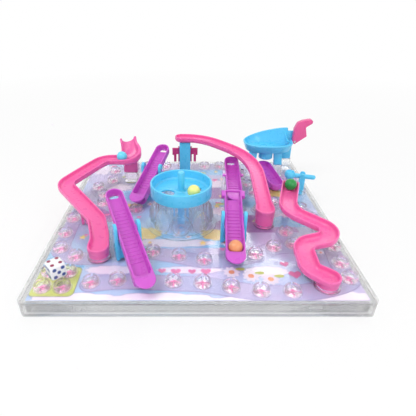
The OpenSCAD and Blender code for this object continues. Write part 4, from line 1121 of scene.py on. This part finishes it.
def lever():
    hinge = pivot("lever_tip")
    place = at(*hinge, LEVER_HEADING)
    arm = Shape().add(rod(LEVER_R, *LEVER_REACH, 2.4, 28), place @ ALONG_X)
    arm.add(rod(LEVER_BOSS_R, -LEVER_BOSS_HALF, LEVER_BOSS_HALF, 0.4, 28), place @ ALONG_Y)
    arm.add(rod(LEVER_AXLE_R, -LEVER_AXLE_HALF, LEVER_AXLE_HALF, 0.3, 20), place @ ALONG_Y)
    cup = [(0, -LEVER_CUP_R)] + arc(0, 0, LEVER_CUP_R, -84, 26, 14) + arc(4.7, 3.15, 0.75, 10, 180)
    cup += arc(0, 4.9, 4.4, -25, -84, 8) + [(0, 0.5)]
    arm.add(lathe(cup, 40, closed=False), place @ at(*LEVER_CUP_PLACE))
    build("lever_arm", arm, "lever", BLUE, ["flip_lever"])
    foot = at(hinge.x, hinge.y, DECK, LEVER_HEADING)
    stand = Shape().add(rod(LEVER_STEM_R, SEAT, 6.4, 0.3, 28), foot)
    prong = [(-PRONG_HALF, PRONG_LOW), (PRONG_HALF, PRONG_LOW)]
    prong += arc(0, hinge.z - DECK + 4.4 - PRONG_HALF, PRONG_HALF, 0, 180, 14)
    near, far = PRONG_REACH
    for low, high in ((-far, -near), (near, far)):
        stand.add(soft_prism(prong, low, high, 0.4), foot @ ALONG_Y)
    stand.add(soft_box(2 * PRONG_HALF, 7, PRONG_LOW, 14, 0.4), foot)
    obj = build("lever_fork", stand, "deck", BLUE, ["lever_post"])
    cut(obj, Shape().add(bore(LEVER_AXLE_R + 0.06, -9, 9), place @ ALONG_Y))


lever()


# Clear mouldings on the deck: cell cups, socket rings and blocks

PETAL_NOTCH = math.degrees(math.asin(2.2 / 14))


def cell_places():
    places = [HOME + Vector((x * HOME_STEP[0], y * HOME_STEP[1], 0)) for x in (-1, 1) for y in (-1, 1)]
    for lane in LANES:
        places += [Vector((x, y, 0)) for x, y in lane if (x, y) not in BARE_PLACES]
    return places


def cell_cups():
    """Cups of four petals: domed outside, with a round ball seat inside, on a thin flange."""
    petal = [(6.6, SEAT), (7.0, 0.5), (7.0, 2.2), (6.8, 3.4), (6.45, 4.3), (6.1, 4.75)]
    petal += arc(0, 7.7, 6.5, -28, -66, 7) + [(2.6, SEAT)]
    flange = [(6.4, SEAT), (7.9, SEAT), (7.9, 0.25), (7.7, 0.42), (6.4, 0.42)]
    petals, flanges = Shape(), Shape()
    for place in cell_places():
        for quarter in range(4):
            part = lathe(petal, 10, 90 * quarter + PETAL_NOTCH, 90 - 2 * PETAL_NOTCH)
            petals.add(part, at(place.x, place.y, DECK))
        flanges.add(lathe(flange, 36), at(place.x, place.y, DECK))
    build("cell_petals", petals, "deck", CLEAR_CUP, ["cell_cups"], sharp=50)
    build("cell_flanges", flanges, "deck", CLEAR_CUP, sharp=50)


def socket_rings():
    shape = Shape()
    inner = CUP_FOOT_R + 0.15
    profile = [(inner, SEAT), (inner + 1.5, SEAT)] + arc(inner + 0.9, SOCKET_H - 0.6, 0.6, 0, 90, 3)
    profile += arc(inner + 0.5, SOCKET_H - 0.5, 0.5, 90, 180, 3)
    for path in (zigzag_path, s_path, arch_path):
        shape.add(lathe(profile, 72), at(path[-1].x, path[-1].y, DECK))
    build("socket_rings", shape, "deck", CLEAR_CUP, ["slide_sockets"])


def clear_blocks():
    """Solid blocks under the launcher, and the hollow one under the tower."""
    blocks = Shape()
    for place, size in zip(LEG_PLACES + (COLUMN_PLACE,), (LEG_SIZE, LEG_SIZE, COLUMN_SIZE)):
        width, depth = [length + 2 * BLOCK_MARGIN for length in size]
        blocks.add(soft_box(width, depth, DECK + SEAT, DECK + BLOCK_H - SEAT, 0.8), at(*place))
    build("launcher_blocks", blocks, "deck", CLEAR, ["launcher_base"])
    width, depth, top, wall = [TOWER[size] for size in ("width", "depth", "low", "clear_wall")]
    outside = soft_box(width, depth, DECK + SEAT, DECK + top - SEAT, 0.8)
    verts, faces = soft_box(width - 2 * wall, depth - 2 * wall, DECK + 0.4, DECK + top - wall, 0.8)
    inside = verts, [list(reversed(f)) for f in faces]
    block = Shape().add(outside, at(*TOWER_PLACE)).add(inside, at(*TOWER_PLACE))
    build("tower_block", block, "deck", CLEAR, ["tower_pedestal"])


cell_cups()
socket_rings()
clear_blocks()


# Loose balls and the die

BALLS = {"light_blue": BALL_BLUE, "yellow": BALL_YELLOW, "orange": BALL_ORANGE, "green": BALL_GREEN}
for ball_colour, ball_material in BALLS.items():
    ball_node = f"ball_{ball_colour}"
    ball_body = ball_colour.split("_")[-1] + "_ball"
    ball_low, ball_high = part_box(ball_node)
    marble = Shape().add(ball_shape((ball_high.z - ball_low.z) / 2 / MM), at(*box_middle(ball_node)))
    build(f"{ball_node}_marble", marble, ball_body, ball_material, [ball_node])

DIE_W = 13.5
DIE_TURN = 41
DIE_POWER = 7
DIE_CELLS = 14
PIP_R = 1.65
PIP_STEP = 3.4
PIP_RISE = 0.16
PIP_SUNK = 0.05
# Pips on each face, with the turn about X and Y that brings the face up
DIE_FACES = [(4, 0, 0), (3, 180, 0), (5, 90, 0), (2, -90, 0), (6, 0, -90), (1, 0, 90)]
MAROON_FACES = (1, 4)


def pip_spots(count):
    """Places of a face's pips, in steps from its middle: the middle, the corners and the sides."""
    pairs = [(-1, -1), (1, 1), (-1, 1), (1, -1), (-1, 0), (1, 0)]
    return [(0, 0)] * (count % 2) + pairs[:count - count % 2]


def die():
    place = at(*box_middle("die"), DIE_TURN)
    cube = Shape()
    pips = {True: Shape(), False: Shape()}
    waves = [math.sin(math.pi * (i / DIE_CELLS - 0.5)) for i in range(DIE_CELLS + 1)]
    lens = lathe(arc(0, 0, 1, -90, 90, 8), 20, closed=False)
    flat = Matrix.Diagonal((PIP_R, PIP_R, PIP_RISE, 1))
    for count, about_x, about_y in DIE_FACES:
        turn = place @ turned(about_x, "X") @ turned(about_y, "Y")
        rings = []
        for u in waves:
            sizes = [(abs(u) ** DIE_POWER + abs(v) ** DIE_POWER + 1) ** (1 / DIE_POWER) for v in waves]
            rings.append([Vector((u, v, 1)) / size * DIE_W / 2 for v, size in zip(waves, sizes)])
        cube.add(grid(rings, closed=False, caps=False), turn)
        for u, v in pip_spots(count):
            spot = at(u * PIP_STEP, v * PIP_STEP, DIE_W / 2 - PIP_SUNK)
            pips[count in MAROON_FACES].add(lens, turn @ spot @ flat)
    build("die_cube", cube, "loose_die", DIE_WHITE, ["die"], sharp=80)
    build("die_pips_maroon", pips[True], "loose_die", PIP_RED)
    build("die_pips_blue", pips[False], "loose_die", PIP_BLUE)


die()


# Case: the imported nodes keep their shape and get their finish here

def finish_node(node, material, bevel=0.35):
    obj = frame["nodes"][node]
    obj.data.materials.clear()
    obj.data.materials.append(material)
    weld = obj.modifiers.new("weld", "WELD")
    weld.merge_threshold = SLIVER * MM
    edge = obj.modifiers.new("edge", "BEVEL")
    edge.width = bevel * MM
    edge.segments = 2
    edge.limit_method = "ANGLE"
    edge.angle_limit = math.radians(40)
    edge.use_clamp_overlap = True


finish_node("base_tray", CLEAR_TRAY)
finish_node("top_deck", CLEAR_DECK, 0.25)
finish_node("drum_bearing", MILKY)
finish_node("lever_socket", CLEAR_CUP)


# Printed card: lanes under the cells, with clouds, hills, flowers and stars between them

LAYER = 0.02
LANE_HALF = 8.8
LANE_EDGE = 0.7
EDGE_LIMIT = CARD_HALF - 0.4
# Most of a bend's radius that the inner side of a lane may take up
BEND_SHARE = 0.95
# Middle and size of each motif that has a set place
PLUM_HILLS = [(60, -40, 90, 34), (20, 30, 80, 30), (-95, -20, 60, 30), (110, 60, 70, 40), (-30, 86, 90, 26)]
SKY_HILLS = [(-10, -66, 110, 26), (-70, 26, 70, 26), (105, -30, 60, 24), (25, 96, 70, 20),
             (-118, -96, 40, 20)]
MEADOWS = [(-52, -42, 40, 22), (22, -44, 34, 20), (-74, 10, 34, 18), (96, 44, 30, 20), (112, -52, 26, 14)]
CLOUDS = [(-96, -136, 80, 20), (-30, -137, 110, 22), (45, -140, 100, 20), (116, -137, 70, 26),
          (-74, -98, 46, 12), (-6, -98, 60, 10), (60, -100, 40, 14), (-24, -58, 90, 14), (112, -6, 40, 16),
          (-98, 60, 46, 20), (-64, 96, 60, 18), (20, 70, 70, 22), (100, 118, 60, 22), (-120, 112, 34, 30),
          (36, 2, 40, 20)]
DAISIES = [(30, -101), (46, -106), (62, -110)]
HEARTS = [(84, -104, 11), (-30, -99, 7), (-18, -100, 9), (-4, -100, 7), (8, -100, 9), (78, -90, 8)]
ARROW = [(-92, -101.4), (-82, -101.4), (-82, -103), (-75, -100.4), (-82, -97.8), (-82, -99.4), (-92, -99.4)]
HOME_HALF = 17.8
HOME_CORNER = 4.5
HOME_LINE = 0.6
# Loose motifs: how many are tried, the span of their places and of their sizes, and their room to a lane
LOOSE_TRIES = 90
LOOSE_X = (-125, 125)
LOOSE_Y = (-90, 128)
LOOSE_SIZE = (2.5, 5.0)
LOOSE_ROOM = 2

finish_node("printed_card", ink("card_sky", (146, 198, 232), (190, 172, 214), 9), 0.1)
LILAC = ink("ink_lilac", (184, 166, 204), (164, 162, 204), 30)
VIOLET = ink("ink_violet", (130, 110, 170), (116, 96, 160))
CREAM = ink("ink_cream", (238, 228, 242), (228, 212, 234), 34)
ROSE = ink("ink_rose", (230, 124, 178), (222, 104, 164))
BLUSH = ink("ink_blush", (236, 180, 214), (228, 160, 200))
LIME = ink("ink_lime", (200, 206, 100), (186, 194, 82))
LEMON = ink("ink_lemon", (236, 212, 116), (232, 190, 104))
SKY = ink("ink_sky", (132, 196, 236), (104, 174, 226))
PLUM = ink("ink_plum", (164, 116, 180), (148, 98, 168))
PEACH = ink("ink_peach", (240, 170, 122), (230, 142, 102))
INK_DARK = ink("ink_dark", (96, 84, 110), (80, 70, 96))


class Print:
    """Flat motifs of one colour on one layer of the card."""

    def __init__(self, name, layer, material):
        self.name, self.material = name, material
        self.low = CARD_TOP + layer * LAYER
        self.count = 0
        self.shape = Shape()

    def held(self, outline):
        """The outline, kept within the card."""
        return [[min(EDGE_LIMIT, max(-EDGE_LIMIT, v)) for v in point] for point in outline]

    def add(self, outline):
        """Adds a motif. Each differs a little in height from the one before, so that they may overlap."""
        top = self.low + LAYER * (0.5 + 0.05 * (self.count % 8))
        self.count += 1
        self.shape.add(prism(self.held(outline), self.low, top))

    def done(self):
        build(self.name, self.shape, "case", self.material, sharp=80)


def curve_through(points, steps=10):
    """Smooth line through points."""
    p = [Vector(q) for q in points]
    p = [2 * p[0] - p[1]] + p + [2 * p[-1] - p[-2]]
    line = []
    for a, b, c, d in zip(p, p[1:], p[2:], p[3:]):
        for i in range(steps):
            t = i / steps
            line.append(0.5 * (2 * b + (c - a) * t + (2 * a - 5 * b + 4 * c - d) * t * t
                               + (3 * b - a - 3 * c + d) * t ** 3))
    return line + [p[-2]]


def bend_room(a, b, c):
    """Radius of the bend at the middle one of three points, with a sign: above 0 for a left turn."""
    u, v = b - a, c - b
    turn = math.atan2(u.x * v.y - u.y * v.x, u.dot(v))
    return (u.length + v.length) / 2 / turn if abs(turn) > 1e-4 else 1e4


def ribbon(print_, line, half, steps=8):
    """Band of one width along a line, with round ends. Its inner side is held in on tight bends."""
    first = (line[1] - line[0]).normalized()
    last = (line[-1] - line[-2]).normalized()
    quarter = [math.pi / 2 * i / steps for i in range(steps + 1)]
    spots = [(line[0] - first * half * math.cos(a), first, half * math.sin(a), half * math.sin(a))
             for a in quarter[:-1]]
    spots.append((line[0], first, half, half))
    for a, b, c in zip(line, line[1:], line[2:]):
        room = BEND_SHARE * bend_room(a, b, c)
        left = min(half, room) if room > 0 else half
        right = min(half, -room) if room < 0 else half
        spots.append((b, (c - a).normalized(), left, right))
    spots.append((line[-1], last, half, half))
    spots += [(line[-1] + last * half * math.sin(a), last, half * math.cos(a), half * math.cos(a))
              for a in quarter[1:]]
    low, high = print_.low, print_.low + LAYER * 0.8
    rings = []
    for p, ahead, left, right in spots:
        side = Vector((-ahead.y, ahead.x))
        (x0, y0), (x1, y1) = print_.held([p - side * right, p + side * left])
        rings.append([(x0, y0, low), (x1, y1, low), (x1, y1, high), (x0, y0, high)])
    print_.shape.add(grid(rings))


def star_outline(x, y, radius, points=5, inner=0.45, turn=90):
    outline = []
    for i in range(2 * points):
        r = radius if i % 2 == 0 else radius * inner
        a = math.radians(turn + 180 * i / points)
        outline.append((x + r * math.cos(a), y + r * math.sin(a)))
    return outline


def petal_outline(x, y, radius, petals=5, depth=0.32, steps=60):
    outline = []
    for a in around(steps):
        r = radius * (1 - depth + depth * abs(math.cos(petals * a / 2)))
        outline.append((x + r * math.cos(a), y + r * math.sin(a)))
    return outline


def puff_outline(x, y, width, height, humps, depth=0.14, steps=72):
    """Cloud or bush: a flat oval with humps round its edge."""
    outline = []
    for a in around(steps):
        r = 1 - depth + depth * abs(math.sin(humps * a / 2))
        outline.append((x + width / 2 * r * math.cos(a), y + height / 2 * r * math.sin(a)))
    return outline


def heart_outline(x, y, size, steps=40):
    outline = []
    for a in around(steps):
        u = 16 * math.sin(a) ** 3
        v = 13 * math.cos(a) - 5 * math.cos(2 * a) - 2 * math.cos(3 * a) - math.cos(4 * a)
        outline.append((x + u * size / 32, y + v * size / 32))
    return outline


def hill_outline(x, y, width, height, steps=30):
    return [(x + width / 2 * u, y + height * v) for u, v in arc(0, 0, 1, 0, 180, steps)]


def near_lane(x, y, room):
    return any((Vector((x, y)) - Vector(p)).length < room for lane in LANES for p in lane)


def print_land():
    """Hills, meadows and clouds."""
    plum_hills = Print("print_hills_plum", 1, PLUM)
    sky_hills = Print("print_hills_sky", 2, SKY)
    for hills, places in ((plum_hills, PLUM_HILLS), (sky_hills, SKY_HILLS)):
        for place in places:
            hills.add(hill_outline(*place))
    meadows = Print("print_meadow_lemon", 3, LEMON)
    for place in MEADOWS:
        meadows.add(puff_outline(*place, 9))
    edges = Print("print_cloud_edges", 3, VIOLET)
    clouds = Print("print_clouds", 4, CREAM)
    for x, y, width, height in CLOUDS:
        edges.add(puff_outline(x, y, width + 1, height + 1, 11))
        clouds.add(puff_outline(x, y, width, height, 11))
    return [plum_hills, sky_hills, meadows, edges, clouds]


def print_lanes():
    """A lilac band with a thin edge under each run of cells."""
    prints = []
    for i, lane in enumerate(LANES):
        line = curve_through(lane)
        edge = Print(f"print_lane_edge_{i + 1}", 5 + i % 2, VIOLET)
        ribbon(edge, line, LANE_HALF + LANE_EDGE)
        band = Print(f"print_lane_{i + 1}", 5.5 + i % 2, LILAC)
        ribbon(band, line, LANE_HALF)
        prints += [edge, band]
    return prints


def print_home():
    """The home square with its edge, and the arrow beside it."""
    edge = Print("print_home_edge", 7, INK_DARK)
    square = Print("print_home", 8, LIME)
    for print_, grow, r in ((edge, HOME_LINE, HOME_CORNER + 0.5), (square, 0, HOME_CORNER)):
        inner = HOME_HALF + grow - r
        outline = []
        for x, y, a in ((inner, inner, 0), (-inner, inner, 90), (-inner, -inner, 180), (inner, -inner, 270)):
            outline += arc(HOME.x + x, HOME.y + y, r, a, a + 90)
        print_.add(outline)
    arrow = Print("print_arrow", 9, CREAM)
    arrow.add(ARROW)
    return [edge, square, arrow]


def print_cells():
    """A ring and a flower under each cup."""
    rings = Print("print_cell_rings", 15, BLUSH)
    flowers = Print("print_cell_flowers", 16, ROSE)
    for place in cell_places():
        rings.add(disc_outline(place.x, place.y, 5.4, 32))
        flowers.add(petal_outline(place.x, place.y, 3.9))
    return [rings, flowers]


def print_motifs():
    """Daisies and hearts in a row, and loose motifs wherever there is room between the lanes."""
    pick = random.Random(7)
    stars = Print("print_stars", 10, LEMON)
    hearts = Print("print_hearts", 11, ROSE)
    daisies = Print("print_daisies", 12, CREAM)
    leaves = Print("print_leaves", 13, LIME)
    eyes = Print("print_daisy_middles", 14, PEACH)
    for x, y in DAISIES:
        daisies.add(petal_outline(x, y, 7.5, 9, 0.3))
        eyes.add(disc_outline(x, y, 2.6))
        leaves.add(puff_outline(x + 8, y + 4, 9, 4, 3))
    for place in HEARTS:
        hearts.add(heart_outline(*place))
    for _ in range(LOOSE_TRIES):
        x, y = pick.uniform(*LOOSE_X), pick.uniform(*LOOSE_Y)
        kind = pick.randrange(4)
        size = pick.uniform(*LOOSE_SIZE)
        if near_lane(x, y, LANE_HALF + size + LOOSE_ROOM):
            continue
        if kind == 0:
            stars.add(star_outline(x, y, size))
        elif kind == 1:
            hearts.add(heart_outline(x, y, size * 1.6))
        elif kind == 2:
            daisies.add(petal_outline(x, y, size, 7, 0.35))
            eyes.add(disc_outline(x, y, size * 0.35))
        else:
            leaves.add(puff_outline(x, y, size * 2.4, size, 5))
    return [stars, hearts, daisies, eyes, leaves]


for motif_print in print_land() + print_home() + print_cells() + print_motifs() + print_lanes():
    motif_print.done()


# Camera, floor, light and backdrop

CAMERA_PLACE = (-9.2, -351.0, 220.7)
CAMERA_PITCH = 29
FRAME_PIXELS = 416
FOCAL_PIXELS = 371.4
AXIS_PIXEL = (186, 201.4)
SENSOR_MM = 36
# The rest of this section is in metres
FLOOR_HALF = 30
FLOOR_DROP = 0.0002
LAMP_AIM = Vector((0, 0, 0.03))
WHITE = (1, 1, 1, 1)

camera_data = bpy.data.cameras.new("camera")
camera_data.sensor_width = SENSOR_MM
camera_data.lens = FOCAL_PIXELS * SENSOR_MM / FRAME_PIXELS
camera_data.shift_x = 0.5 - AXIS_PIXEL[0] / FRAME_PIXELS
camera_data.shift_y = AXIS_PIXEL[1] / FRAME_PIXELS - 0.5
camera_data.clip_start = 0.01
camera = bpy.data.objects.new("camera", camera_data)
camera.location = Vector(CAMERA_PLACE) * MM
camera.rotation_euler = (math.radians(90 - CAMERA_PITCH), 0, 0)
scene.collection.objects.link(camera)
scene.camera = camera


def floor():
    """White paper that keeps the object's shadow and turns into the backdrop further out."""
    mesh = bpy.data.meshes.new("floor")
    corners = [(-1, -1), (1, -1), (1, 1), (-1, 1)]
    mesh.from_pydata([(x * FLOOR_HALF, y * FLOOR_HALF, -FLOOR_DROP) for x, y in corners], [], [(0, 1, 2, 3)])
    obj = bpy.data.objects.new("floor", mesh)
    scene.collection.objects.link(obj)
    s = Surface("floor_paper")
    s.set(base_color=(0.9, 0.9, 0.9, 1), roughness=0.9)
    glow = s.add("Emission", color=WHITE).outputs["Emission"]
    distance = s.add("VectorMath", vector=s.where)
    distance.operation = "LENGTH"
    far = s.spread(distance.outputs["Value"], 0.72, 1.0, 0.25, 1.0)
    share = s.calculate("MULTIPLY", s.seen_directly(), far)
    s.show_mix(share, s.shader.outputs["BSDF"], glow)
    mesh.materials.append(s.material)


def backdrop():
    """World that lights the object at a plain level and is seen as white."""
    world = bpy.data.worlds.new("backdrop")
    tree = Tree(world)
    light = tree.fill(tree.nodes["Background"], color=WHITE, strength=0.7)
    white = tree.add("Background", color=WHITE, strength=1.0)
    looks = [node.outputs["Background"] for node in (light, white)]
    tree.show_mix(tree.seen_directly(), *looks, "World Output")
    scene.world = world


def lamp(name, place, size, power):
    data = bpy.data.lights.new(name, "AREA")
    data.shape = "DISK"
    data.size = size
    data.energy = power
    obj = bpy.data.objects.new(name, data)
    obj.location = place
    obj.rotation_euler = (LAMP_AIM - Vector(place)).to_track_quat("-Z", "Y").to_euler()
    scene.collection.objects.link(obj)


floor()
backdrop()
lamp("key_lamp", (-0.45, -0.35, 0.95), 0.5, 3.6)
lamp("fill_lamp", (0.5, -0.7, 0.5), 0.6, 1.8)
lamp("back_lamp", (0.2, 0.7, 0.8), 0.5, 1.0)
scene.view_settings.view_transform = "Standard"
